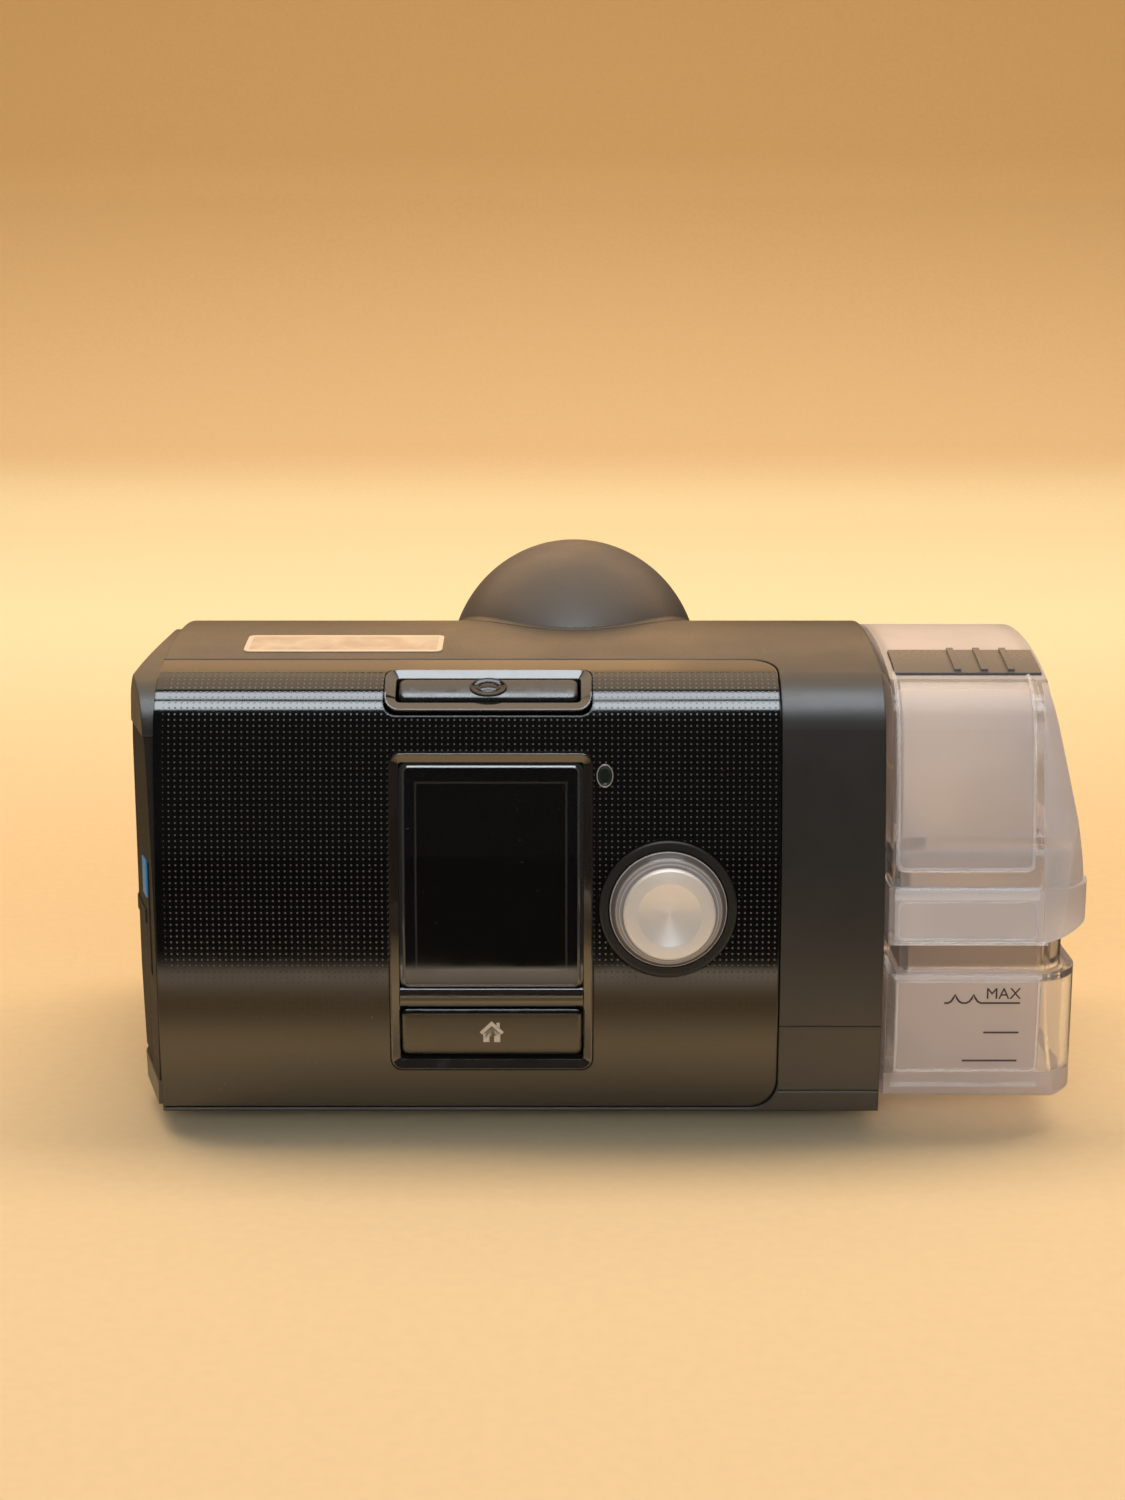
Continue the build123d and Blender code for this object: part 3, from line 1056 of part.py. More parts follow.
def tub_base():
    """Water chamber: the outer part below the lid and the roofed part inside the bay, in one moulding."""
    low = band(tub_envelope(BASE_R, 0.0, False), TUB_BOTTOM, NECK_BOTTOM)
    low_edges = [e for e in low.edges() if e.center().Z < TUB_BOTTOM + 0.1 and e.center().X > TUB_L + 1]
    low = chamfer(low_edges, 1.0)
    neck = band(tub_envelope(BASE_R, NECK_SINK, False), NECK_BOTTOM - OVER, RIM_Z)
    inner = block(INNER_L, CASE_R + 0.2, INNER_FRONT, INNER_BACK, INNER_BOTTOM, INNER_TOP)
    inner += block(CASE_R - 5, TUB_L + 4, INNER_FRONT, INNER_BACK, INNER_BOTTOM, PASSAGE_TOP)
    body = low + neck + inner
    hollow = band(tub_envelope(BASE_R, TUB_WALL, False), TUB_BOTTOM + TUB_WALL, NECK_BOTTOM - TUB_WALL)
    hollow += band(tub_envelope(BASE_R, NECK_SINK + TUB_WALL, False), TUB_BOTTOM + TUB_WALL, RIM_Z + OVER)
    in_front, in_back = INNER_FRONT + TUB_WALL, INNER_BACK - TUB_WALL - 2
    in_bottom = INNER_BOTTOM + TUB_WALL + 0.4
    hollow += block(INNER_L + TUB_WALL, CASE_R - TUB_WALL, in_front, in_back, in_bottom, INNER_TOP - TUB_WALL)
    hollow += block(CASE_R - 8, TUB_L + 8, in_front, in_back, in_bottom, PASSAGE_TOP - TUB_WALL)
    body -= hollow
    body -= block(HEATER_X0 + 1, HEATER_X1 - 1, HEATER_Y0 + 1, HEATER_Y1 - 1, 0, INNER_BOTTOM + 4)
    body -= air_ports(INNER_L)
    for x0, x1 in EAR_SPANS:
        ear = block(x0, x1, HINGE_Y - HINGE_R, HINGE_Y + HINGE_R * 0.4, RIM_Z - 3, HINGE_Z)
        ear += rod(HINGE_R, (x0, HINGE_Y, HINGE_Z), (x1, HINGE_Y, HINGE_Z))
        body += ear
    return body - rod(PIN_R + PIN_GAP, (-FAR, HINGE_Y, HINGE_Z), (FAR, HINGE_Y, HINGE_Z))


PASSAGE_TOP = RIM_Z - 1.0        # roof of the way between the inner and the outer part
EAR_SPANS = [(TUB_L + 4.4, TUB_L + 9.0), (BASE_R - 12.0, BASE_R - 7.4)]


def tub_heat_plate():
    """Metal plate in the floor of the tub's inner part."""
    plate = block(HEATER_X0 + 1 + SEAM, HEATER_X1 - 1 - SEAM, HEATER_Y0 + 1 + SEAM, HEATER_Y1 - 1 - SEAM,
                  INNER_BOTTOM, INNER_BOTTOM + TUB_WALL + 0.3)
    return plate


def tub_seal():
    """Gasket on the base's rim."""
    outer = band(tub_envelope(BASE_R, NECK_SINK + 0.3, False), RIM_Z, RIM_Z + SEAL_T)
    inner = band(tub_envelope(BASE_R, NECK_SINK + TUB_WALL - 0.3, False), RIM_Z - OVER, RIM_Z + SEAL_T + OVER)
    ring = outer - inner
    keep_out = block(-FAR, FAR, HINGE_Y - HINGE_R - 1.4, FAR, 0, FAR)
    return ring - keep_out


SKIRT_INSIDE = 2.4       # lid skirt's wall, down to the latch band
LID_WALL = 2.0
LID_LEDGE = 5.6          # thickness down to the ledge that presses the gasket
BAND_RISE = 4.0          # the latch band's lower edge climbs this much round the front corner


def below_band():
    """Wedge under the latch band's right end."""
    x0, x1 = RIGHT - TUB_CORNER, RIGHT + TUB_CORNER
    wedge = Polyline((x0, BAND_BOTTOM - OVER), (x0, BAND_BOTTOM), (x1, BAND_BOTTOM + 2 * BAND_RISE),
                     (x1, BAND_BOTTOM - OVER), close=True)
    return extrude(Plane.XZ.offset(-FAR) * make_face(wedge), amount=2 * FAR)


def tub_lid():
    """Clear hood with the latch band along its lower edge."""
    hood = band(tub_envelope(RIGHT, LID_SINK, True), BAND_BOTTOM, CREST_Z + 5)
    latch = band(tub_envelope(RIGHT, 0.0, True), BAND_BOTTOM, BAND_TOP)
    rear_low = block(-FAR, RIGHT - SKIRT_INSIDE - 0.6, HINGE_Y - HINGE_R - 2.0, FAR, 0, HINGE_Z - 1.0)
    left_low = block(-FAR, TUB_L + SKIRT_INSIDE + 0.6, INNER_FRONT - 4.0, FAR, 0, RIM_Z + SEAL_T + 0.1)
    hood += latch
    skirt = band(tub_envelope(RIGHT, SKIRT_INSIDE, True), BAND_BOTTOM - OVER, RIM_Z + SEAL_T + 0.1)
    inside = band(tub_envelope(RIGHT, LID_SINK + LID_WALL, True), RIM_Z + SEAL_T + 2.5, CREST_Z)
    mouth = band(tub_envelope(RIGHT, LID_LEDGE + 2.5, True), RIM_Z - OVER, RIM_Z + SEAL_T + 5)
    lid = hood - skirt - inside - mouth - rear_low - left_low - below_band()
    barrel_x0 = EAR_SPANS[0][1] + GAP
    barrel_x1 = EAR_SPANS[1][0] - GAP
    for x0, x1 in EAR_SPANS:
        lid -= block(x0 - GAP, x1 + GAP, HINGE_Y - HINGE_R - 1.0, FAR, HINGE_Z - 12, HINGE_Z + HINGE_R + 1.0)
    barrel = rod(HINGE_R, (barrel_x0, HINGE_Y, HINGE_Z), (barrel_x1, HINGE_Y, HINGE_Z))
    barrel += block(barrel_x0, barrel_x1, HINGE_Y + 0.6, TUB_BACK - LID_SINK, HINGE_Z, HINGE_Z + 6)
    lid += barrel
    lid -= grip_zone(SEAM)
    return lid - rod(PIN_R + 0.02, (-FAR, HINGE_Y, HINGE_Z), (FAR, HINGE_Y, HINGE_Z))


GRIP_FRONT, GRIP_BACK = 16.5, 29.0
GRIP_L, GRIP_R = TUB_L + LID_SINK + 1.4, LID_TOP_R - 1.6
RIDGE_W, RIDGE_PITCH, RIDGE_INSET = 1.4, 5.65, 6.3


def grip_zone(margin):
    """Pocket across the lid's top for the ridged strip."""
    pocket = skin(GRIP_L - margin, GRIP_R + margin, -OVER, LID_SINK + 0.9 + margin)
    return pocket & block(-FAR, FAR, GRIP_FRONT - margin, GRIP_BACK + margin, 60, FAR)


def tub_grip():
    """Dark strip with three ridges for the finger that lifts the lid."""
    strip = skin(GRIP_L, GRIP_R, LID_SINK - 0.5, LID_SINK + 0.9)
    strip &= block(-FAR, FAR, GRIP_FRONT, GRIP_BACK, 60, FAR)
    ridge_skin = skin(GRIP_L, GRIP_R, LID_SINK - 1.1, LID_SINK)
    for i in range(3):
        x = GRIP_R - RIDGE_INSET - RIDGE_PITCH * i
        strip += ridge_skin & block(x - RIDGE_W / 2, x + RIDGE_W / 2, GRIP_FRONT + 0.4, GRIP_BACK - 0.4, 60, FAR)
    return strip


def tub_hinge_pin():
    return rod(PIN_R, (EAR_SPANS[0][0] + 0.4, HINGE_Y, HINGE_Z), (EAR_SPANS[1][1] - 0.4, HINGE_Y, HINGE_Z))


def level_marks():
    """Printed fill lines on the tub's front face: a wavy top line and two lower ones."""
    marks = None
    right = TUB_L + 28.2
    for z, length in ((29.25, 16.2), (22.7, 7.4), (16.35, 11.6)):
        line = skin(TUB_L, RIGHT, -0.12, 0.0) & block(right - length, right, -5, 5, z - 0.22, z + 0.22)
        marks = line if marks is None else marks + line
    return marks


# ---------------------------------------------------------------- output
NODES = [
    top_housing, outlet_hood, bay_frame, front_fascia, badge_plate, top_label, bottom_cover,
    rubber_feet, case_screws,
    side_pod, side_panel, slot_marker, adapter_cover, adapter_pin, adapter_port, sd_card, sd_socket,
    screen_bezel, screen_window, lcd_panel, home_button, start_button_frame, start_button, start_lens,
    button_switches, sensor_lens, dial_ring, dial_skirt, dial_cap, dial_shaft, dial_plunger, encoder_body,
    main_board, power_board, power_inlet, retention_clip,
    blower_lower, blower_upper, impeller, motor_shaft, blower_motor, blower_mounts, intake_muffler,
    inlet_duct, outlet_duct, outlet_port, outlet_contacts, air_filter, filter_cover, filter_pin,
    bay_liner, heater_plate, bay_seals,
    tub_base, tub_heat_plate, tub_seal, tub_lid, tub_grip, tub_hinge_pin, level_marks,
]

MID_Y = DEPTH / 2 - DIAL_PROUD


def main():
    os.makedirs("parts", exist_ok=True)
    for make in NODES:
        solid = Pos(0, -MID_Y, 0) * make()
        export_step(solid, f"parts/{make.__name__}.step")


main()
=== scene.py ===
from math import acos, asin, cos, hypot, pi, radians, sin, sqrt

import bmesh
import bpy
from mathutils import Matrix, Vector

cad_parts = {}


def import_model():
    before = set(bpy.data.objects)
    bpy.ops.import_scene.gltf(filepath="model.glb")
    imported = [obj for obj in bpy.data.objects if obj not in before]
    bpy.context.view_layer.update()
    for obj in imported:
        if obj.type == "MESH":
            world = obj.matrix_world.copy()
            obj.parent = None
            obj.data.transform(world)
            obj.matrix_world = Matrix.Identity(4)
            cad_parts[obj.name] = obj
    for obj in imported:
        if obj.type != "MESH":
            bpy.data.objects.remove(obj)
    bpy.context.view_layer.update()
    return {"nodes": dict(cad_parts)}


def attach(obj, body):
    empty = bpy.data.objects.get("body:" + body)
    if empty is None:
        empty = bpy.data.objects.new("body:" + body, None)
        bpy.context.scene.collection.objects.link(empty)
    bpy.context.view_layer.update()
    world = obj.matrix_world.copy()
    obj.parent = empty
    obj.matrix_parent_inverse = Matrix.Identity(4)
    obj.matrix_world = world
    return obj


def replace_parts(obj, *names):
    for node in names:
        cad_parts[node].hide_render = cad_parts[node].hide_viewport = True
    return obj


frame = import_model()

MM = 0.001

# ---- the case's side outline, as the CAD has it: millimetres, y = 0 at the foremost panel line ----
MID_Y = 68.0             # the CAD frame's origin lies this far behind the foremost line
FRONT_R, FRONT_Z, LEAN = 238.0, 33.0, radians(13)
CORNER_R, CORNER_END = 14.0, radians(74)
CREST_Z = 101.5
REAR_R, REAR_SWEEP, REAR_CORNER_R = 100.0, radians(29), 26.0
BODY_DEPTH = 112.0
CORNER_Y = FRONT_R - (FRONT_R - CORNER_R) * cos(LEAN)
CORNER_Z = FRONT_Z + (FRONT_R - CORNER_R) * sin(LEAN)
TOP_R = (CREST_Z - CORNER_Z - CORNER_R * sin(CORNER_END)) / (1 - sin(CORNER_END))
TOP_Y = CORNER_Y + (TOP_R - CORNER_R) * cos(CORNER_END)
TOP_Z = CREST_Z - TOP_R
FALL_Y = BODY_DEPTH - REAR_CORNER_R - (REAR_R - REAR_CORNER_R) * sin(REAR_SWEEP)
FALL_Z = CREST_Z - REAR_R
LEAN_V = FRONT_R * LEAN                                # arc length where the corner starts
CORNER_V = LEAN_V + CORNER_R * (CORNER_END - LEAN)     # and where it ends

# ---- what is on the front and the roof ----
CASE_L = -93.3                                         # left end of the gloss panel
DOT_PITCH, DOT_R = 1.26, 0.2                           # its dot texture
SCREEN_X, SCREEN_Z = -23.3, 55.9                       # middle of the display
START_X, START_V = -23.9, LEAN_V + CORNER_R * (radians(52.4) - LEAN)   # middle of the start button
DIAL_X, DIAL_Z, DIAL_FACE = 13.6, 49.65, 6.9           # the dial's axis, and its face over the skin
SENSOR_X, SENSOR_Z = 0.4, 77.2
LABEL_X, LABEL_Y = -55.7, 32.6

PIECES = bpy.data.collections.new("pieces")
bpy.context.scene.collection.children.link(PIECES)


def front_point(x, v, out=0.0):
    """Point over the front and the roof: v is arc length up from the foremost line, out is height over the skin."""
    if v <= LEAN_V:
        a, r, cy, cz = v / FRONT_R, FRONT_R, FRONT_R, FRONT_Z
    elif v <= CORNER_V:
        a, r, cy, cz = LEAN + (v - LEAN_V) / CORNER_R, CORNER_R, CORNER_Y, CORNER_Z
    else:
        a, r, cy, cz = CORNER_END + (v - CORNER_V) / TOP_R, TOP_R, TOP_Y, TOP_Z
    r += out
    return Vector((x, cy - r * cos(a) - MID_Y, cz + r * sin(a))) * MM


def front_v(z):
    """Arc length on the front at height z."""
    return FRONT_R * asin((z - FRONT_Z) / FRONT_R)


def front_frame(x, z, out=0.0):
    """Matrix at a point of the front: X to the right, Y up the panel, Z out."""
    tilt = asin((z - FRONT_Z) / FRONT_R)
    right, up, normal = Vector((1, 0, 0)), Vector((0, sin(tilt), cos(tilt))), Vector((0, -cos(tilt), sin(tilt)))
    matrix = Matrix((right, up, normal)).transposed().to_4x4()
    matrix.translation = front_point(x, front_v(z), out)
    return matrix


# ---------------------------------------------------------------- materials
class Tree:
    """A material's nodes, in short calls."""

    def __init__(self, name):
        self.material = bpy.data.materials.new(name)
        self.material.use_nodes = True
        self.tree = self.material.node_tree
        self.tree.nodes.clear()
        self.place = self.node("TexCoord").outputs["Object"]

    def node(self, kind, inputs=None, **settings):
        made = self.tree.nodes.new("ShaderNode" + kind)
        for key, value in settings.items():
            setattr(made, key, value)
        for key, value in (inputs or {}).items():
            self.put(made.inputs[key], value)
        return made

    def put(self, socket, value):
        if isinstance(value, bpy.types.NodeSocket):
            self.tree.links.new(value, socket)
        else:
            socket.default_value = value

    def math(self, operation, *values, clamp=False):
        made = self.node("Math", operation=operation, use_clamp=clamp)
        for i, value in enumerate(values):
            self.put(made.inputs[i], value)
        return made.outputs[0]

    def ramp(self, value, low, high, to_low=0.0, to_high=1.0, smooth=True):
        """value mapped from low..high to to_low..to_high, held at both ends."""
        kind = "SMOOTHSTEP" if smooth else "LINEAR"
        made = self.node("MapRange", {"Value": value, "From Min": low, "From Max": high,
                                      "To Min": to_low, "To Max": to_high}, interpolation_type=kind)
        return made.outputs["Result"]

    def noise(self, size, detail=2.0, place=None, distortion=0.0):
        """Noise whose spots are about size millimetres across."""
        made = self.node("TexNoise", {"Vector": place or self.place, "Scale": 1 / (size * MM),
                                      "Detail": detail, "Distortion": distortion})
        return made.outputs["Fac"]

    def mix(self, share, a, b):
        """Colour between a and b."""
        made = self.node("Mix", data_type="RGBA")
        self.put(made.inputs["Factor"], share)
        self.put(made.inputs[6], a)
        self.put(made.inputs[7], b)
        return made.outputs[2]

    def split(self, vector=None):
        return self.node("SeparateXYZ", {"Vector": vector or self.place}).outputs

    def bump(self, height, distance, normal=None):
        made = self.node("Bump", {"Height": height, "Distance": distance * MM, "Strength": 1.0})
        if normal:
            self.put(made.inputs["Normal"], normal)
        return made.outputs["Normal"]

    def off_box(self, a, a_middle, a_half, b, b_middle, b_half):
        """How far a point is outside a rectangle given in millimetres; less than 0 inside."""
        across = self.math("SUBTRACT", self.math("ABSOLUTE", self.math("SUBTRACT", a, a_middle * MM)), a_half * MM)
        along = self.math("SUBTRACT", self.math("ABSOLUTE", self.math("SUBTRACT", b, b_middle * MM)), b_half * MM)
        return self.math("MAXIMUM", across, along)

    def radius(self):
        """Distance from the object's own Z axis, in millimetres."""
        x, y = self.split()[:2]
        squares = self.math("ADD", self.math("POWER", x, 2.0), self.math("POWER", y, 2.0))
        return self.math("MULTIPLY", self.math("SQRT", squares), 1000.0)

    def edge(self, radius):
        """Normal rounded over edges, and how much of an edge a point is on."""
        rounded = self.node("Bevel", {"Radius": radius * MM}, samples=4).outputs["Normal"]
        sharp = self.node("NewGeometry").outputs["Normal"]
        dot = self.node("VectorMath", {0: rounded, 1: sharp}, operation="DOT_PRODUCT").outputs["Value"]
        return rounded, self.ramp(dot, 1.0, 0.86)

    def reflected(self):
        """1 for a ray that came off a gloss surface, 0 for one that came through glass."""
        path = self.node("LightPath").outputs
        return self.math("MULTIPLY", path["Is Glossy Ray"], self.math("SUBTRACT", 1.0, path["Is Transmission Ray"]))

    def shader(self, **inputs):
        made = self.node("BsdfPrincipled")
        for key, value in inputs.items():
            self.put(made.inputs[key.replace("_", " ")], value)
        return made.outputs[0]

    def end(self, shader):
        out = self.node("OutputMaterial")
        self.put(out.inputs["Surface"], shader)
        return self.material


def grey(value, warm=0.0):
    """Neutral colour, or a slightly warm one."""
    return (value * (1 + warm), value, value * (1 - warm), 1.0)


def scaled(colour, factor, lift=0.0):
    """The colour made darker or paler, no channel over 1."""
    return tuple(min(1.0, c * factor + lift) for c in colour[:3]) + (1.0,)


def moulded(name, colour, rough, grain=0.35, depth=0.012, wear=0.25, edge=0.35, spots=0.15, **inputs):
    """Moulded plastic: fine spark texture, patchy gloss, slightly rubbed edges."""
    t = Tree(name)
    rounded, rim = t.edge(edge)
    fine = t.noise(grain, 3.0)
    patch = t.noise(14.0, 3.0)
    tone = t.mix(t.math("MULTIPLY", patch, spots * 2), colour, scaled(colour, 1.45))
    worn = t.mix(t.math("MULTIPLY", rim, wear), tone, scaled(colour, 2.0, 0.02))
    gloss = t.math("ADD", t.ramp(fine, 0.3, 0.7, rough - 0.05, rough + 0.05), t.ramp(patch, 0.3, 0.7, -0.03, 0.03))
    return t.end(t.shader(Base_Color=worn, Roughness=gloss, Normal=t.bump(fine, depth, rounded), **inputs))


def fascia_gloss():
    """Gloss black panel with rows of fine dots under the lacquer, a little dust and hairline wear."""
    t = Tree("fascia_gloss")
    x, y, z = t.split()[:3]
    rise = t.math("SUBTRACT", z, FRONT_Z * MM)
    flat_v = t.math("MULTIPLY", t.math("ARCSINE", t.math("DIVIDE", rise, FRONT_R * MM)), FRONT_R)
    turn = t.math("ARCTAN2", t.math("SUBTRACT", z, CORNER_Z * MM), t.math("SUBTRACT", (CORNER_Y - MID_Y) * MM, y))
    corner_v = t.math("ADD", t.math("MULTIPLY", t.math("SUBTRACT", turn, LEAN), CORNER_R), LEAN_V)
    on_corner = t.math("GREATER_THAN", z, (CORNER_Z + CORNER_R * sin(LEAN)) * MM)
    v = t.math("ADD", t.math("MULTIPLY", corner_v, on_corner),
               t.math("MULTIPLY", flat_v, t.math("SUBTRACT", 1.0, on_corner)))
    u = t.math("MULTIPLY", x, 1000.0)
    offset = [t.math("SUBTRACT", t.math("FRACT", t.math("DIVIDE", c, DOT_PITCH)), 0.5) for c in (u, v)]
    away = t.math("SQRT", t.math("ADD", t.math("POWER", offset[0], 2.0), t.math("POWER", offset[1], 2.0)))
    dot = t.ramp(away, DOT_R / DOT_PITCH + 0.05, DOT_R / DOT_PITCH - 0.05)
    fade = t.math("MULTIPLY", t.ramp(v, 2.0, 7.0, 0.15, 1.0), t.ramp(v, 66.0, 72.0, 1.0, 0.0))
    fade = t.math("MULTIPLY", fade, t.ramp(u, CASE_L + 1.6, CASE_L + 2.4))
    dot = t.math("MULTIPLY", dot, fade)
    rounded = t.edge(0.5)[0]
    dust = t.ramp(t.noise(0.55, 1.0), 0.78, 0.82, 0.0, 0.5)
    colour = t.mix(dot, (0.0035, 0.0035, 0.004, 1), (0.09, 0.088, 0.085, 1))
    colour = t.mix(dust, colour, (0.16, 0.15, 0.13, 1))
    smear = t.ramp(t.noise(22.0, 4.0), 0.4, 0.7, 0.09, 0.135)
    rough = t.math("ADD", smear, t.math("MULTIPLY", dot, 0.3))
    height = t.math("ADD", t.math("MULTIPLY", dot, -1.0), t.math("MULTIPLY", t.noise(9.0), 0.3))
    normal = t.bump(height, 0.01, rounded)
    return t.end(t.shader(Base_Color=colour, Roughness=rough, Normal=normal, Specular_IOR_Level=1.0, IOR=1.62))


def display_gloss():
    """Screen window: black border printed behind the glass, and the dark display with its thin pale outline."""
    t = Tree("display_gloss")
    x, _, z = t.split()[:3]
    outside = t.off_box(x, SCREEN_X, 15.9, z, SCREEN_Z, 19.9)
    inside = t.ramp(outside, 0.1 * MM, -0.1 * MM)
    line = t.math("MULTIPLY", inside, t.ramp(outside, -0.5 * MM, -0.3 * MM))
    grain = t.noise(0.2, 1.0)
    display = t.mix(grain, (0.003, 0.003, 0.0024, 1), (0.005, 0.0048, 0.004, 1))
    colour = t.mix(inside, (0.004, 0.004, 0.005, 1), display)
    colour = t.mix(t.math("MULTIPLY", line, 0.6), colour, (0.055, 0.05, 0.048, 1))
    speck = t.ramp(t.noise(0.5, 1.0), 0.77, 0.8, 0.0, 0.4)
    colour = t.mix(speck, colour, (0.15, 0.15, 0.14, 1))
    rough = t.ramp(t.noise(16.0, 4.0), 0.4, 0.7, 0.04, 0.09)
    return t.end(t.shader(Base_Color=colour, Roughness=rough, Normal=t.bump(t.noise(12.0), 0.006),
                          Specular_IOR_Level=1.0, IOR=1.65))


def clear_tub(name, tint, panels, clear=0.06, dark=None):
    """Clear polycarbonate, frosted inside each panel (x0, x1, z0, z1, haze), with painted shade between the heights
    in dark.
    """
    t = Tree(name)
    x, _, z = t.split()[:3]
    frost = haze = None
    for x0, x1, z0, z1, cloud in panels:
        outside = t.off_box(x, (x0 + x1) / 2, (x1 - x0) / 2, z, (z0 + z1) / 2, (z1 - z0) / 2)
        inside = t.ramp(outside, 0.3 * MM, -0.3 * MM)
        clouded = t.math("MULTIPLY", inside, cloud)
        frost = inside if frost is None else t.math("MAXIMUM", frost, inside)
        haze = clouded if haze is None else t.math("MAXIMUM", haze, clouded)
    rounded, rim = t.edge(0.5)
    grain = t.noise(0.3, 2.0)
    wave = t.noise(11.0, 2.0)
    cloudy = t.ramp(t.noise(24.0, 2.0), 0.42, 0.62, 0.0, 0.5)
    colour = t.mix(frost, (0.95, 0.945, 0.95, 1), t.mix(cloudy, tint, (0.66, 0.63, 0.64, 1)))
    # Paler, whiter along the edges: painted highlight.
    colour = t.mix(t.math("MULTIPLY", rim, 0.5), colour, (1, 1, 1, 1))
    # Painted shade: a darker band where the dim inside of the bay shows through the tub's neck.
    if dark:
        low, high = dark
        band = t.math("MULTIPLY", t.ramp(z, low * MM, (low + 0.6) * MM), t.ramp(z, high * MM, (high - 0.6) * MM))
        colour = t.mix(t.math("MULTIPLY", band, 0.9), colour, (0.4, 0.38, 0.38, 1))
    rough = t.math("ADD", t.ramp(frost, 0.0, 1.0, 0.03, 0.36), t.math("MULTIPLY", grain, 0.05))
    height = t.math("ADD", t.math("MULTIPLY", wave, 0.8), t.math("MULTIPLY", grain, t.math("MULTIPLY", frost, 0.5)))
    glass = t.shader(Base_Color=colour, Roughness=rough, IOR=1.5, Normal=t.bump(height, 0.05, rounded),
                     Transmission_Weight=t.math("SUBTRACT", 1.0 - clear, haze))
    through = t.node("BsdfTransparent", {"Color": (0.9, 0.87, 0.87, 1)}).outputs[0]
    lamp_share = t.math("MULTIPLY", t.node("LightPath").outputs["Is Shadow Ray"], 0.75)
    return t.end(t.node("MixShader", {0: lamp_share, 1: glass, 2: through}).outputs[0])


def metal(name, colour, rough, brush=(6.0, 6.0, 0.4)):
    """Metal with fine drawn lines."""
    t = Tree(name)
    rounded = t.edge(0.2)[0]
    stretched = t.node("Mapping", {"Vector": t.place, "Scale": tuple(1 / s for s in brush)}).outputs[0]
    lines = t.noise(1.0, 4.0, stretched)
    tone = t.mix(lines, colour, scaled(colour, 0.8))
    gloss = t.ramp(lines, 0.3, 0.7, rough - 0.06, rough + 0.08)
    normal = t.bump(lines, 0.004, rounded)
    return t.end(t.shader(Base_Color=tone, Metallic=1.0, Roughness=gloss, Normal=normal))


def soft(name, colour, rough=0.75, size=0.8, depth=0.15):
    """Foam, felt or fibre: open cells and uneven tone."""
    t = Tree(name)
    cells = t.node("TexVoronoi", {"Vector": t.place, "Scale": 1 / (size * MM)}).outputs["Distance"]
    tone = t.mix(cells, scaled(colour, 0.55), colour)
    gloss = t.ramp(cells, 0, 1, rough, rough + 0.15)
    return t.end(t.shader(Base_Color=tone, Roughness=gloss, Normal=t.bump(cells, depth)))


def label_film():
    """Bare sticker: pinkish film with a cream border."""
    t = Tree("label_film")
    x, y = t.split()[:2]
    inside = t.ramp(t.off_box(x, LABEL_X, 20.3, y, LABEL_Y - MID_Y, 4.8), 0.15 * MM, -0.15 * MM)
    cloud = t.ramp(t.noise(7.0, 4.0, distortion=0.6), 0.35, 0.65)
    film = t.mix(cloud, (0.56, 0.44, 0.36, 1), (0.67, 0.59, 0.47, 1))
    colour = t.mix(inside, (0.74, 0.67, 0.53, 1), film)
    rough = t.ramp(t.noise(5.0, 3.0), 0.3, 0.7, 0.3, 0.45)
    return t.end(t.shader(Base_Color=colour, Roughness=rough, Normal=t.bump(t.noise(6.0), 0.02)))


def ringed_smoke():
    """Smoky clear plastic of the dial's skirt, with painted highlight on the edges of its steps."""
    t = Tree("skirt_ringed")
    away = t.radius()
    tone = t.mix(t.ramp(away, 10.9, 11.4), (0.4, 0.395, 0.42, 1), (0.2, 0.195, 0.2, 1))
    # Painted highlight: paler rings on the step edges.
    for step in (10.2, 10.85, 12.1):
        step_highlight = t.ramp(t.math("ABSOLUTE", t.math("SUBTRACT", away, step)), 0.16, 0.06)
        tone = t.mix(step_highlight, tone, (0.75, 0.74, 0.76, 1))
    grain = t.noise(1.5)
    return t.end(t.shader(Base_Color=tone, Roughness=t.ramp(grain, 0.3, 0.7, 0.12, 0.2), IOR=1.49,
                          Transmission_Weight=0.35, Normal=t.bump(grain, 0.004)))


def spun_metal(name, colour, rough):
    """Lathe-turned metal: fine rings about the object's own Z axis, stretched highlights, and painted highlight on
    the chamfer.
    """
    t = Tree(name)
    away = t.radius()
    along = t.node("CombineXYZ", {"X": away}).outputs[0]
    rings = t.node("TexNoise", {"Vector": along, "Scale": 9.0, "Detail": 4.0}).outputs["Fac"]
    # White beyond 9.1 mm radius: painted highlight on the chamfer.
    tone = t.mix(t.ramp(away, 8.95, 9.1), t.mix(rings, colour, scaled(colour, 0.93)), (1, 1, 1, 1))
    tangent = t.node("Tangent", direction_type="RADIAL", axis="Z").outputs[0]
    gloss = t.ramp(rings, 0.3, 0.7, rough - 0.05, rough + 0.06)
    return t.end(t.shader(Base_Color=tone, Metallic=0.42, Roughness=gloss, Anisotropic=0.6, Anisotropic_Rotation=0.25,
                          Tangent=tangent, Normal=t.bump(rings, 0.003)))


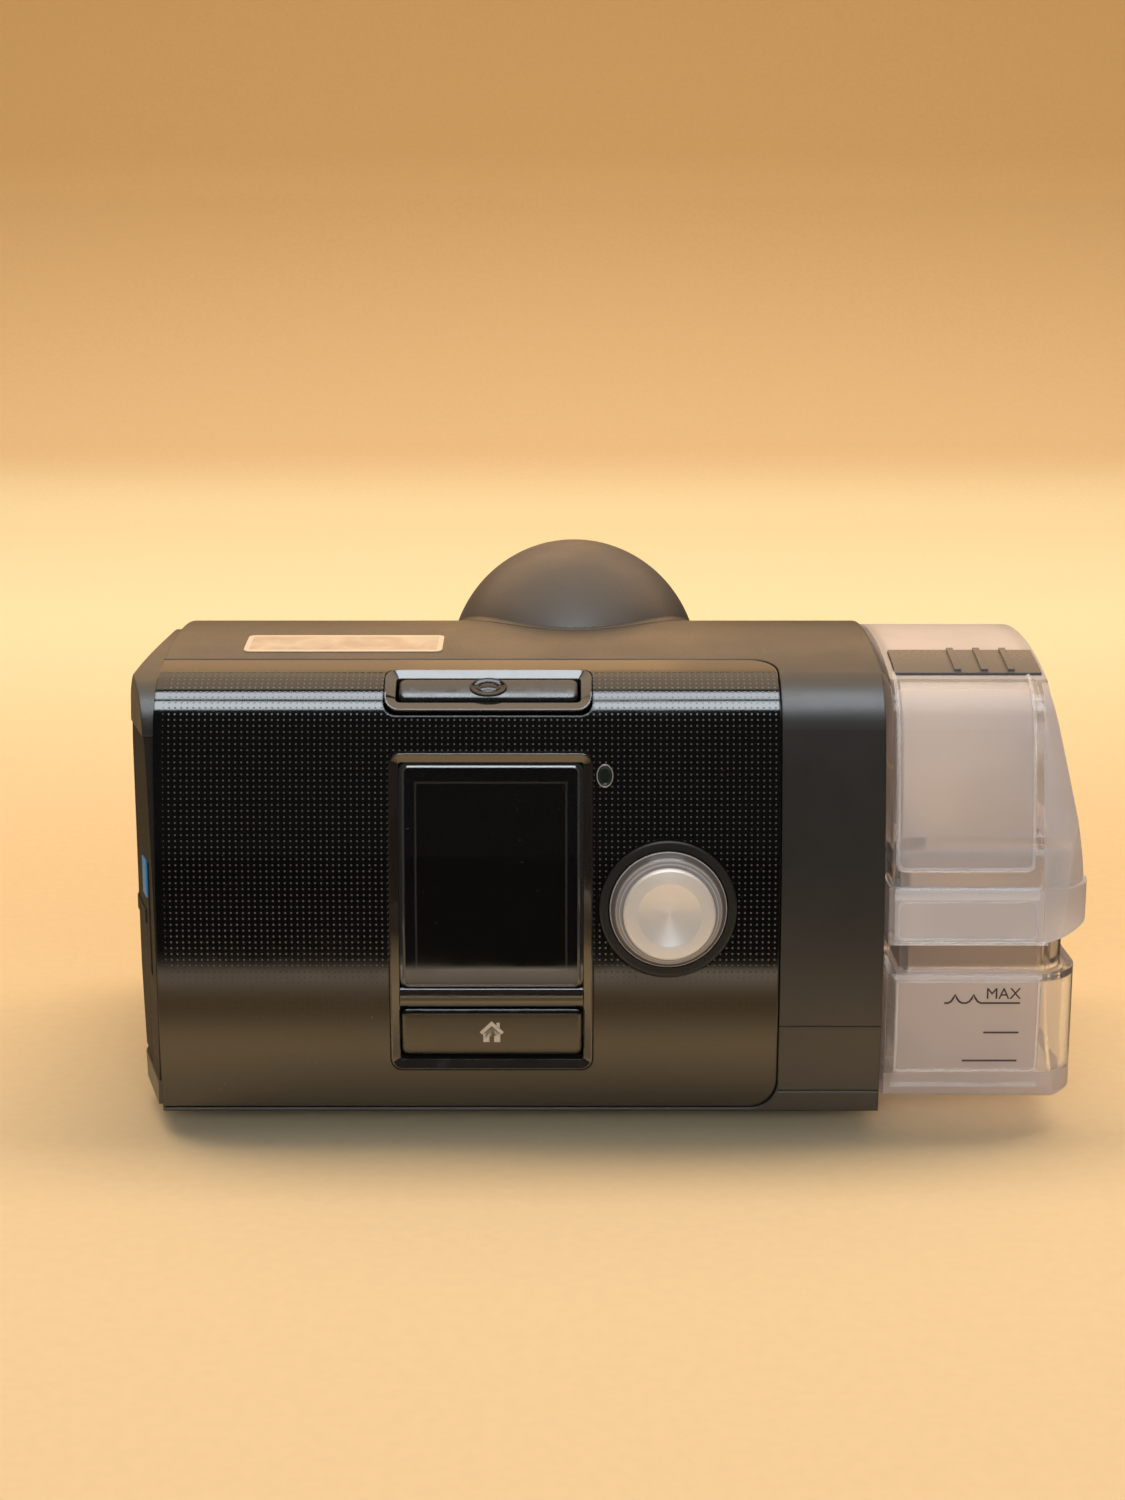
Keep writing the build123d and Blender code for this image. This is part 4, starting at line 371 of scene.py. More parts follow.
MATERIALS = {
    "charcoal_case": moulded("case_charcoal", (0.024, 0.0235, 0.023, 1), 0.4, 0.3, 0.010, 0.12, 0.6,
                             Specular_IOR_Level=0.9, IOR=1.62),
    "gloss_black": fascia_gloss(),
    "black_trim": moulded("trim_gloss", grey(0.005), 0.1, 2.5, 0.004, 0.05, 0.45, Specular_IOR_Level=1.0),
    "black_plastic": moulded("plinth_matte", grey(0.012), 0.6, 0.5, 0.03),
    "panel_plastic": moulded("panel_spark", grey(0.02, 0.04), 0.6, 0.9, 0.06, 0.2, Specular_IOR_Level=0.25),
    "blue_plastic": moulded("marker_blue", (0.01, 0.26, 0.68, 1), 0.4, 0.4, 0.01),
    "rubber_black": moulded("foot_rubber", grey(0.018), 0.75, 0.7, 0.04),
    "silver_metal": metal("cap_silver", (0.86, 0.85, 0.83, 1), 0.3),
    "steel": metal("steel_drawn", (0.62, 0.61, 0.6, 1), 0.32),
    "smoke_clear": moulded("skirt_smoke", (0.4, 0.385, 0.41, 1), 0.16, 1.5, 0.004, 0.5, 0.3,
                           Transmission_Weight=0.35, IOR=1.49),
    "display_glass": display_gloss(),
    "lcd_black": moulded("lcd_dark", grey(0.01), 0.3, 0.3, 0.002),
    "sensor_glass": moulded("sensor_green", (0.012, 0.02, 0.017, 1), 0.06, 1.0, 0.003, 0.6, 0.4,
                            Coat_Weight=0.5),
    # Tub base: painted shade on its neck, between 36.0 and 42.3 mm.
    "clear_plastic": clear_tub("tub_clear", (0.74, 0.7, 0.7, 1),
                               [(61.8, 91.4, 14.35, 35.3, 0.23), (61.8, 91.4, 36.2, 60.0, 0.02),
                                (58.0, 104.0, 3.0, 13.6, 0.2)], dark=(36.0, 42.3)),
    "grip_grey": moulded("grip_smoke", (0.11, 0.105, 0.105, 1), 0.32, 0.6, 0.02, 0.5, 0.4, Coat_Weight=0.2),
    "silicone_grey": moulded("silicone_soft", (0.45, 0.45, 0.47, 1), 0.55, 0.6, 0.02),
    "mark_print": moulded("mark_ink", (0.06, 0.04, 0.05, 1), 0.5, 0.4, 0.004),
    "label_paper": label_film(),
    "board_green": moulded("board_mask", (0.02, 0.12, 0.05, 1), 0.3, 1.2, 0.01),
    "foam_grey": soft("foam_cells", (0.16, 0.16, 0.17, 1)),
    "filter_white": soft("filter_fibre", (0.8, 0.81, 0.83, 1), 0.85, 0.35, 0.1),
    "white_plastic": moulded("white_moulded", (0.68, 0.68, 0.66, 1), 0.45, 0.5, 0.01),
    "fan_plastic": moulded("fan_moulded", (0.5, 0.5, 0.52, 1), 0.35, 0.5, 0.01),
}


def finish_of(node):
    """The record's material slot of a CAD node."""
    return frame["nodes"][node].data.materials[0].name.split(".")[0]


def dress(node, material):
    """Gives a CAD node a material in every slot it has."""
    mesh = frame["nodes"][node].data
    for i in range(len(mesh.materials)):
        mesh.materials[i] = material


for name, obj in frame["nodes"].items():
    dress(name, MATERIALS[finish_of(name)])
dress("tub_lid", clear_tub("lid_clear", (0.76, 0.73, 0.74, 1),
                           [(61.45, 89.7, 57.35, 94.0, 0.22), (60.8, 92.0, 42.6, 53.4, 0.5),
                            (92.0, 104.0, 40.0, 95.0, 0.36), (58.0, 104.0, 95.6, 104.0, 0.4)]))
dress("dial_ring", moulded("ring_satin", grey(0.022), 0.34, 0.5, 0.01, 0.1, 0.3))
# The hood is the case's charcoal plastic; its paler base colour here is painted sheen, standing in for the bright
# light its top reflects.
dress("outlet_hood", moulded("hood_charcoal_painted_sheen", (0.05, 0.051, 0.057, 1), 0.46, 0.3, 0.010, 0.12, 0.6,
                             Specular_IOR_Level=0.8, IOR=1.58))


# ---------------------------------------------------------------- pieces
def piece(name, verts, faces, material, body, sharp=40):
    """A mesh that rides on a body; edges sharper than an angle in degrees stay crisp."""
    mesh = bpy.data.meshes.new(name)
    mesh.from_pydata(verts, [], faces)
    shape = bmesh.new()
    shape.from_mesh(mesh)
    bmesh.ops.remove_doubles(shape, verts=shape.verts, dist=1e-7)
    bmesh.ops.recalc_face_normals(shape, faces=shape.faces)
    for face in shape.faces:
        face.smooth = True
    for edge in shape.edges:
        edge.smooth = len(edge.link_faces) < 2 or edge.calc_face_angle(0) < radians(sharp)
    shape.to_mesh(mesh)
    shape.free()
    mesh.materials.append(material)
    obj = bpy.data.objects.new(name, mesh)
    PIECES.objects.link(obj)
    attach(obj, body)
    return obj


def tube_faces(rows, columns, closed, first=0):
    """Quads over rows of columns that close round; the rows close too, or end in caps."""
    faces = []
    for i in range(rows if closed else rows - 1):
        a, b = first + i * columns, first + (i + 1) % rows * columns
        faces += [(a + j, a + (j + 1) % columns, b + (j + 1) % columns, b + j) for j in range(columns)]
    if not closed:
        faces += [tuple(first + j for j in range(columns))[::-1],
                  tuple(first + (rows - 1) * columns + j for j in range(columns))]
    return faces


def spaced(path, step=1.2):
    """The path with long runs divided, so that it follows a curved surface."""
    points = [path[0]]
    for a, b in zip(path, path[1:]):
        count = max(1, int(hypot(b[0] - a[0], b[1] - a[1]) / step))
        points += [(a[0] + (b[0] - a[0]) * i / count, a[1] + (b[1] - a[1]) * i / count)
                   for i in range(1, count + 1)]
    return points


def rounded_path(x0, x1, v0, v1, radius):
    """Rounded rectangle as a closed path of (x, v)."""
    corners = [(x1 - radius, v1 - radius, 0), (x0 + radius, v1 - radius, 90),
               (x0 + radius, v0 + radius, 180), (x1 - radius, v0 + radius, 270)]
    points = [(cx + radius * cos(radians(a + 15 * i)), cv + radius * sin(radians(a + 15 * i)))
              for cx, cv, a in corners for i in range(7)]
    return spaced(points + points[:1])[:-1]


def bead(name, path, closed, half_width, height, out, material, body):
    """Raised line on the front skin along a path of (x, v), seated a little into what carries it."""
    profile = [(cos(radians(30 * i)), sin(radians(30 * i))) for i in range(7)] + [(-1.0, -0.35), (1.0, -0.35)]
    verts = []
    for i, (x, v) in enumerate(path):
        before = path[i - 1] if closed or i else path[0]
        after = path[(i + 1) % len(path)] if closed or i < len(path) - 1 else path[-1]
        dx, dv = after[0] - before[0], after[1] - before[1]
        length = hypot(dx, dv)
        side = (dv / length, -dx / length)
        for across, up in profile:
            w = half_width * across
            verts.append(front_point(x + side[0] * w, v + side[1] * w, out + height * up))
    return piece(name, verts, tube_faces(len(path), len(profile), closed), material, body)


def lathe(name, profile, matrix, material, body, stretch=(1.0, 1.0), steps=72, sharp=28):
    """Profile of (radius, height) turned about Z; stretch makes it oval."""
    verts = [(r * cos(2 * pi * j / steps) * stretch[0] * MM, r * sin(2 * pi * j / steps) * stretch[1] * MM, h * MM)
             for r, h in profile for j in range(steps)]
    obj = piece(name, verts, tube_faces(len(profile), steps, False), material, body, sharp)
    obj.matrix_world = matrix
    return obj


def plate(name, outlines, thickness, matrix, material, body):
    """Flat polygons given as lists of (x, y), drawn up by a thickness."""
    verts, faces = [], []
    for points in outlines:
        first, count = len(verts), len(points)
        verts += [(x * MM, y * MM, h * MM) for h in (0.0, thickness) for x, y in points]
        faces += [tuple(first + count + i for i in range(count)), tuple(first + i for i in range(count))[::-1]]
        faces += [(first + i, first + (i + 1) % count, first + count + (i + 1) % count, first + count + i)
                  for i in range(count)]
    obj = piece(name, verts, faces, material, body)
    obj.matrix_world = matrix
    return obj


HOOD_X, HOOD_PEAK, HOOD_Z = -5.6, 88.0, 86.0           # middle of the hood's ellipsoid
HOOD_R, HOOD_NOSE = 30.0, 50.0                         # its half width and half length
BLEND_R, BLEND_FLARE = 1.7, 0.6                        # fillet at its nose, and how much larger at its flanks


def case_top(y, out):
    """Height and outward normal of the roof at depth y, moved out by a distance."""
    back_y, back_z = BODY_DEPTH - REAR_CORNER_R, FALL_Z + (REAR_R - REAR_CORNER_R) * cos(REAR_SWEEP)
    arcs = ((CORNER_Y, CORNER_Z, CORNER_R, CORNER_END), (TOP_Y, TOP_Z, TOP_R, pi / 2),
            (FALL_Y, FALL_Z, REAR_R, pi / 2 + REAR_SWEEP), (back_y, back_z, REAR_CORNER_R, pi))
    for cy, cz, r, last in arcs:
        r += out
        if cy == FALL_Y and y < FALL_Y:
            return CREST_Z + out, Vector((0, 0, 1))
        if y <= cy - r * cos(last):
            break
    sine = sqrt(max(0.0, 1 - ((y - cy) / r) ** 2))
    return cz + r * sine, Vector((0, (y - cy) / r, sine))


def hood_gap(point):
    """Distance of a point outside the hood from its surface, and the direction away from it."""
    centre, sizes = Vector((HOOD_X, HOOD_PEAK, HOOD_Z)), Vector((HOOD_R, HOOD_NOSE, HOOD_R))
    foot = point
    for _ in range(12):
        q = Vector((a / b for a, b in zip(foot - centre, sizes)))
        foot = centre + Vector((a * b for a, b in zip(q.normalized(), sizes)))
        away = Vector((a / b ** 2 for a, b in zip(foot - centre, sizes))).normalized()
        foot = foot + (point - foot) - away * (point - foot).dot(away)
    q = Vector((a / b for a, b in zip(foot - centre, sizes))).normalized()
    foot = centre + Vector((a * b for a, b in zip(q, sizes)))
    return (point - foot).length * (1 if (point - foot).dot(away) > 0 else -1), away


def hood_blend():
    """Fillet where the hood rises from the roof, fading out towards the rear."""
    sections, steps = [], 8
    for i in range(81):
        turn = radians(-120 + 3 * i)
        fade = min(1.0, max(0.12, (radians(122) - abs(turn)) / radians(30)))
        radius = (BLEND_R + BLEND_FLARE * max(0.0, sin(abs(turn)) - 0.45)) * fade
        low, high = 0.0, 80.0
        for _ in range(40):
            reach = (low + high) / 2
            x, y = HOOD_X + reach * sin(turn), HOOD_PEAK - reach * cos(turn)
            z, up = case_top(y, radius)
            gap, away = hood_gap(Vector((x, y, z)))
            low, high = (reach, high) if gap < radius else (low, reach)
        centre = Vector((x, y, z))
        sweep = acos(max(-1.0, min(1.0, up.dot(away))))
        arc = [centre - (up * sin((1 - k / steps) * sweep) + away * sin(k / steps * sweep)) / sin(sweep) * radius
               for k in range(steps + 1)]
        middle = (arc[0] + arc[-1]) / 2
        root = middle + (middle - centre) * 0.5
        sections.append([p - Vector((0, MID_Y, 0)) for p in arc + [root]])
    verts = [p * MM for section in sections for p in section]
    faces = tube_faces(len(sections), steps + 2, False)
    piece("hood_blend", verts, faces, MATERIALS["charcoal_case"], "housing", 60)


def nested(box, radius, inset, runs=(34, 56)):
    """Rounded rectangle (x0, x1, v0, v1) drawn in by a distance, with the same count of points at any inset."""
    x0, x1, v0, v1 = box[0] + inset, box[1] - inset, box[2] + inset, box[3] - inset
    r = max(radius - inset, 0.4)
    corners = [(x1 - r, v1 - r), (x0 + r, v1 - r), (x0 + r, v0 + r), (x1 - r, v0 + r)]
    arcs = [[(cx + r * cos(radians(90 * k + 15 * i)), cv + r * sin(radians(90 * k + 15 * i))) for i in range(7)]
            for k, (cx, cv) in enumerate(corners)]
    points = []
    for k, arc in enumerate(arcs):
        (ax, av), (bx, bv) = arc[-1], arcs[(k + 1) % 4][0]
        count = runs[k % 2]
        points += arc + [(ax + (bx - ax) * i / count, av + (bv - av) * i / count) for i in range(1, count)]
    return points


def surround(name, box, radius, profile, material, body="housing"):
    """Frame on the front skin: profile of (inset, out) run round a rounded rectangle."""
    paths = [nested(box, radius, inset) for inset, out in profile]
    verts = [front_point(*path[i], out) for i in range(len(paths[0]))
             for path, (inset, out) in zip(paths, profile)]
    return piece(name, verts, tube_faces(len(paths[0]), len(profile), True), material, body, 24)


def frames():
    """Bezel and start button frame, whose bevels slope inwards, the bar under the window, and the window's rim."""
    trim = moulded("bezel_gloss", (0.02, 0.0165, 0.0145, 1), 0.09, 2.5, 0.003, 0.05, 0.3,
                   Specular_IOR_Level=1.0, IOR=1.75)
    pale = moulded("rim_gloss", grey(0.05), 0.09, 2.5, 0.003, 0.05, 0.3, Specular_IOR_Level=1.0, IOR=1.75)
    half, low, high = 42.45 / 2, front_v(14.4), front_v(81.8)
    slope = [(0.0, -2.5), (0.0, 0.12), (0.12, 0.25), (0.3, 0.25), (1.9, -0.85), (1.95, -0.95), (1.95, -3.4)]
    ring = surround("bezel_ring", (SCREEN_X - half, SCREEN_X + half, low, high), 2.5, slope, trim)
    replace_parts(ring, "screen_bezel")

    half, low, high = 19.3, front_v(28.2), front_v(32.15)
    bar = [(low, -3.4), (low, -0.95), (low + 0.25, -0.76), (low + 1.4, -0.68), (high - 1.3, -0.7),
           (high - 0.6, -0.8), (high - 0.15, -1.0), (high, -1.2), (high, -3.4)]
    verts = [front_point(SCREEN_X + side * half, v, out) for side in (-1, 1) for v, out in bar]
    piece("bezel_bar", verts, tube_faces(2, len(bar), False), trim, "housing")

    half, low, high = 18.6, front_v(32.45), front_v(79.35)
    lip = [(-0.72, -2.7), (-0.72, -2.4), (0.0, -2.4), (0.0, -1.0), (0.05, -0.92), (0.5, -0.7), (0.56, -0.72),
           (0.62, -0.95), (0.62, -2.7)]
    surround("window_rim", (SCREEN_X - half, SCREEN_X + half, low, high), 1.5, lip, pale)

    half, low, high = 21.65, START_V - 5.7, START_V + 6.2
    slope = [(0.0, -1.8), (0.0, 0.2), (0.12, 0.35), (0.3, 0.35), (2.3, -0.7), (2.35, -0.85), (2.35, -2.6)]
    ring = surround("start_ring", (START_X - half, START_X + half, low, high), 3.2, slope, trim)
    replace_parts(ring, "start_button_frame")


def button_caps():
    """Home button and start button with a chamfer round their faces."""
    profile = [(0.05, -3.0), (0.05, -0.52), (0.1, -0.4), (0.5, -0.1), (0.62, -0.04), (0.9, 0.0), (1.7, 0.0),
               (2.5, 0.0)]

    def cap(name, node, box, radius, sink, material):
        verts = [front_point(*point, out - sink) for inset, out in profile for point in nested(box, radius, inset)]
        faces = tube_faces(len(profile), len(verts) // len(profile), False)
        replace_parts(piece(name, verts, faces, material, node, 30), node)

    gloss = moulded("home_gloss", grey(0.005), 0.1, 2.5, 0.004, 0.05, 0.45, Specular_IOR_Level=1.0, IOR=1.62)
    soft_gloss = moulded("start_gloss", grey(0.012), 0.27, 2.5, 0.003, 0.05, 0.45, Specular_IOR_Level=1.0, IOR=1.7)
    half, low, high = 18.95, front_v(17.6), front_v(27.75)
    cap("home_cap", "home_button", (SCREEN_X - half, SCREEN_X + half, low, high), 1.3, 0.1, gloss)
    half, low, high = 18.7, START_V - 3.0, START_V + 3.45
    cap("start_cap", "start_button", (START_X - half, START_X + half, low, high), 1.5, 0.3, soft_gloss)


def dial():
    """Turned cap with a painted highlight on its chamfer and a dished middle, on a smoky stepped skirt."""
    at = front_frame(DIAL_X, DIAL_Z)
    profile = [(3.2, -1.1), (12.1, -1.1), (12.2, -0.9), (12.2, 1.0), (12.0, 1.25), (11.2, 2.9), (10.9, 3.1),
               (10.75, 3.9), (10.5, 4.05), (10.15, 4.1), (10.1, 4.75), (9.3, 4.8), (3.2, 4.8)]
    skirt = lathe("dial_skirt_turned", profile, at, ringed_smoke(), "dial")
    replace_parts(skirt, "dial_skirt")
    top = DIAL_FACE
    profile = [(0.01, 4.81), (9.3, 4.81), (9.5, 4.95), (9.5, top - 0.75), (9.42, top - 0.62), (9.12, top - 0.26),
               (9.05, top - 0.24), (6.65, top), (6.5, top - 0.03), (6.35, top - 0.12), (0.01, top - 1.1)]
    spun = spun_metal("cap_spun", (1.0, 0.98, 0.96, 1), 0.46)
    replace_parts(lathe("dial_cap_turned", profile, at, spun, "dial", sharp=24), "dial_cap")


def lenses():
    """Oval lens with its rings in the start button, and the sensor's domed window with a bright rim."""
    angle, reach = radians(54.0), 13.93            # the lens's direction and distance from the corner's centre
    right, up, out = Vector((1, 0, 0)), Vector((0, sin(angle), cos(angle))), Vector((0, -cos(angle), sin(angle)))
    at = Matrix((right, up, out)).transposed().to_4x4()
    at.translation = Vector((START_X, CORNER_Y - reach * cos(angle) - MID_Y, CORNER_Z + reach * sin(angle))) * MM
    profile = [(0.01, -1.0), (1.0, -1.0), (1.0, 0.02), (0.97, 0.08), (0.9, 0.08), (0.86, -0.02), (0.66, -0.14),
               (0.62, -0.04), (0.56, -0.02), (0.52, -0.12), (0.48, -0.22), (0.3, -0.06), (0.01, 0.02)]
    shade = moulded("lens_smoke", (0.016, 0.011, 0.009, 1), 0.07, 1.0, 0.002, 0.7, 0.2, Coat_Weight=0.6)
    lens = lathe("start_lens_ringed", profile, at, shade, "start_button", (3.95, 2.5), 64)
    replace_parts(lens, "start_lens")

    at, oval, steps = front_frame(SENSOR_X, SENSOR_Z), (1.5, 2.1), 48
    profile = [(0.01, -2.0), (1.0, -2.0), (1.0, 0.16), (0.95, 0.24), (0.86, 0.22), (0.8, 0.1), (0.74, 0.02),
               (0.5, 0.16), (0.01, 0.24)]
    eye = lathe("sensor_dome", profile, at, MATERIALS["sensor_glass"], "housing", oval, steps)
    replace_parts(eye, "sensor_lens")
    rim = [(1.02, -0.1), (1.16, -0.1), (1.16, 0.06), (1.12, 0.12), (1.06, 0.12), (1.02, 0.06)]
    turns = [2 * pi * j / steps for j in range(steps)]
    verts = [at @ (Vector((oval[0] * r * cos(a), oval[1] * r * sin(a), h)) * MM) for a in turns for r, h in rim]
    bright = moulded("sensor_ring", grey(0.34), 0.15, 1.0, 0.003, 0.3, 0.2, Specular_IOR_Level=1.0, IOR=1.7)
    piece("sensor_rim", verts, tube_faces(steps, len(rim), True), bright, "housing")


def home_icon():
    """Printed house on the home button."""
    roof = [(-2.55, -0.15), (0.0, 2.3), (2.55, -0.15), (2.0, -0.72), (0.0, 1.2), (-2.0, -0.72)]
    chimney = [(1.0, 1.2), (1.7, 0.55), (1.7, 1.95), (1.0, 1.95)]
    left = [(-1.8, -0.68), (-1.8, -2.4), (-0.48, -2.4), (-0.48, -1.1), (0.0, -1.1), (0.0, 0.95)]
    right = [(0.0, 0.95), (0.0, -1.1), (0.48, -1.1), (0.48, -2.4), (1.8, -2.4), (1.8, -0.68)]
    ink = moulded("icon_ink", (0.58, 0.5, 0.42, 1), 0.5, 0.3, 0.004)
    at = front_frame(SCREEN_X, 22.9, -0.12)
    plate("home_icon", [roof, chimney, left, right], 0.06, at, ink, "home_button")


def level_lines():
    """Fill marks: a wavy top line under its word, and two shorter lines."""
    wave = [(71.7, 0.0), (72.5, 0.0), (73.1, 0.35), (73.6, 1.1), (73.95, 1.85), (74.3, 1.1), (74.8, 0.35),
            (75.5, 0.0), (76.3, 0.0), (77.0, 0.35), (77.5, 1.1), (77.85, 1.85), (78.2, 1.1), (78.7, 0.35),
            (79.4, 0.0), (87.6, 0.0)]
    lines = [[(x, front_v(29.25) + rise) for x, rise in wave],
             [(80.2, front_v(22.7)), (87.6, front_v(22.7))], [(75.95, front_v(16.35)), (87.5, front_v(16.35))]]
    ink = MATERIALS["mark_print"]
    made = [bead(f"level_line_{i}", spaced(path, 0.6), False, 0.21, 0.05, 0.0, ink, "tub")
            for i, path in enumerate(lines)]
    data = bpy.data.curves.new("level_word", "FONT")
    data.body, data.size, data.extrude, data.align_x = "MAX", 3.45 * MM, 0.03 * MM, "RIGHT"
    data.materials.append(ink)
    word = bpy.data.objects.new("level_word", data)
    PIECES.objects.link(word)
    word.matrix_world = front_frame(87.75, 30.2, 0.06)
    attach(word, "tub")
    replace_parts(made[0], "level_marks")


def tub_lines():
    """Raised frames, ledges and lips moulded into the clear tub's front, in a paler, milkier plastic than the tub:
    painted highlight along them.
    """
    # Whiter tint and more diffuse share than the tub: painted highlight on the raised lines.
    line = clear_tub("tub_lines", (0.97, 0.93, 0.92, 1), [(0, 1, 0, 1, 0.0)], 0.2)
    lid_out, base_out = -0.8, 0.0

    def mould(name, path, closed, out, body, width, height):
        bead(name, path, closed, width, height, out, line, body)

    def frame_line(name, x0, x1, v0, v1, radius, out, body, width, height):
        mould(name, rounded_path(x0, x1, v0, v1, radius), True, out, body, width, height)

    def ledge(name, x0, x1, z, out, body, width, height):
        mould(name, spaced([(x0, front_v(z)), (x1, front_v(z))]), False, out, body, width, height)

    frame_line("lid_window_frame", 61.5, 89.7, front_v(57.6), CORNER_V + 2.2, 1.6, lid_out, "tub_lid", 0.5, 0.35)
    frame_line("band_frame", 61.7, 90.6, front_v(43.1), front_v(51.0), 1.4, 0.0, "tub_lid", 0.3, 0.18)
    ledge("band_lip", 60.8, 93.0, 42.2, 0.0, "tub_lid", 0.45, 0.4)
    ledge("band_shoulder", 60.8, 91.0, 52.6, -0.5, "tub_lid", 1.5, 0.95)
    ledge("base_shoulder", 61.0, 92.0, 34.9, base_out, "tub", 0.5, 0.4)
    frame_line("base_frame", 61.9, 91.5, front_v(14.2), front_v(34.0), 0.8, base_out, "tub", 0.4, 0.3)
    ledge("base_lip", 61.0, 92.0, 10.9, base_out, "tub", 0.55, 0.35)


hood_blend()
frames()
button_caps()
dial()
lenses()
home_icon()
level_lines()
tub_lines()


# ---------------------------------------------------------------- stage
# Paper tones: darker and deeper around the object, and darker up the wall towards the top: painted shade.
PAPER_FRONT, PAPER_NEAR_SHADE, PAPER_FAR = (0.85, 0.7, 0.46, 1), (0.78, 0.62, 0.38, 1), (0.86, 0.8, 0.56, 1)
PAPER_WALL, PAPER_TOP_SHADE = (0.71, 0.54, 0.32, 1), (0.5, 0.345, 0.165, 1)
# Colours the paper shows only in reflections off gloss surfaces: painted reflection bands, tan, then bright, then
# dark beyond.
GLOSS_TAN, GLOSS_WHITE, GLOSS_BLACK = (0.33, 0.26, 0.157, 1), (0.95, 0.93, 0.88, 1), (0.004, 0.004, 0.004, 1)
GLOSS_END = -0.195       # where gloss surfaces stop seeing the paper in front, in metres


def backdrop():
    """Pale paper: level floor, then a wide sweep up to the wall behind."""
    flat_end, sweep_r, wall_top, front_end, half = 1.1, 0.45, 2.6, -2.2, 2.6
    profile = [(front_end, 0.0), (flat_end, 0.0)]
    profile += [(flat_end + sweep_r * sin(a), sweep_r * (1 - cos(a))) for a in (radians(3 * i) for i in range(1, 31))]
    profile += [(flat_end + sweep_r, wall_top)]
    verts = [(side * half, y, z) for side in (-1, 1) for y, z in profile]
    count = len(profile)
    faces = [(i, i + 1, count + i + 1, count + i) for i in range(count - 1)]
    mesh = bpy.data.meshes.new("paper_sweep")
    mesh.from_pydata(verts, [], faces)
    mesh.polygons.foreach_set("use_smooth", [True] * len(faces))
    obj = bpy.data.objects.new("paper_sweep", mesh)
    bpy.context.scene.collection.objects.link(obj)
    t = Tree("paper")
    x, y, z = t.split()[:3]
    # Painted shade: darker near the object, then on the wall, darkest at the top.
    colour = t.mix(t.ramp(y, -0.12, 0.1), PAPER_FRONT, PAPER_NEAR_SHADE)
    colour = t.mix(t.ramp(y, 0.1, 0.7), colour, PAPER_FAR)
    colour = t.mix(t.ramp(z, -0.004, 0.045), colour, PAPER_WALL)
    colour = t.mix(t.ramp(z, 0.05, 0.28, smooth=False), colour, PAPER_TOP_SHADE)
    fibre = t.ramp(t.noise(3.0, 5.0), 0.3, 0.7, 0.985, 1.015)
    colour = t.node("VectorMath", {0: colour, "Scale": fibre}, operation="SCALE").outputs[0]
    # Painted reflection: tan, white and black bands in front that gloss surfaces see, dimmed at the sides.
    painted_reflection = t.mix(t.ramp(y, -0.105, -0.145), colour, GLOSS_TAN)
    painted_reflection = t.mix(t.ramp(y, -0.15, -0.2), painted_reflection, GLOSS_WHITE)
    painted_reflection = t.mix(t.ramp(y, GLOSS_END, GLOSS_END - 0.006), painted_reflection, GLOSS_BLACK)
    sides = t.math("MULTIPLY", t.ramp(x, 0.1, 0.14, 1.0, 0.08), t.ramp(x, -0.14, -0.2, 1.0, 0.4))
    painted_reflection = t.node("VectorMath", {0: painted_reflection, "Scale": sides}, operation="SCALE").outputs[0]
    colour = t.mix(t.reflected(), colour, painted_reflection)
    obj.data.materials.append(t.end(t.shader(Base_Color=colour, Roughness=0.9, Specular_IOR_Level=0.1)))


def lamp(name, place, target, size, power, colour, gloss=True, diffuse=True):
    """Soft rectangular lamp. Without gloss it only lights surfaces; without diffuse it only shows in reflections."""
    data = bpy.data.lights.new(name, "AREA")
    data.shape = "RECTANGLE"
    data.size, data.size_y = size
    data.energy = power
    data.color = colour
    obj = bpy.data.objects.new(name, data)
    obj.location = place
    obj.rotation_euler = (Vector(target) - Vector(place)).to_track_quat("-Z", "Y").to_euler()
    obj.visible_glossy, obj.visible_diffuse = gloss, diffuse
    bpy.context.scene.collection.objects.link(obj)


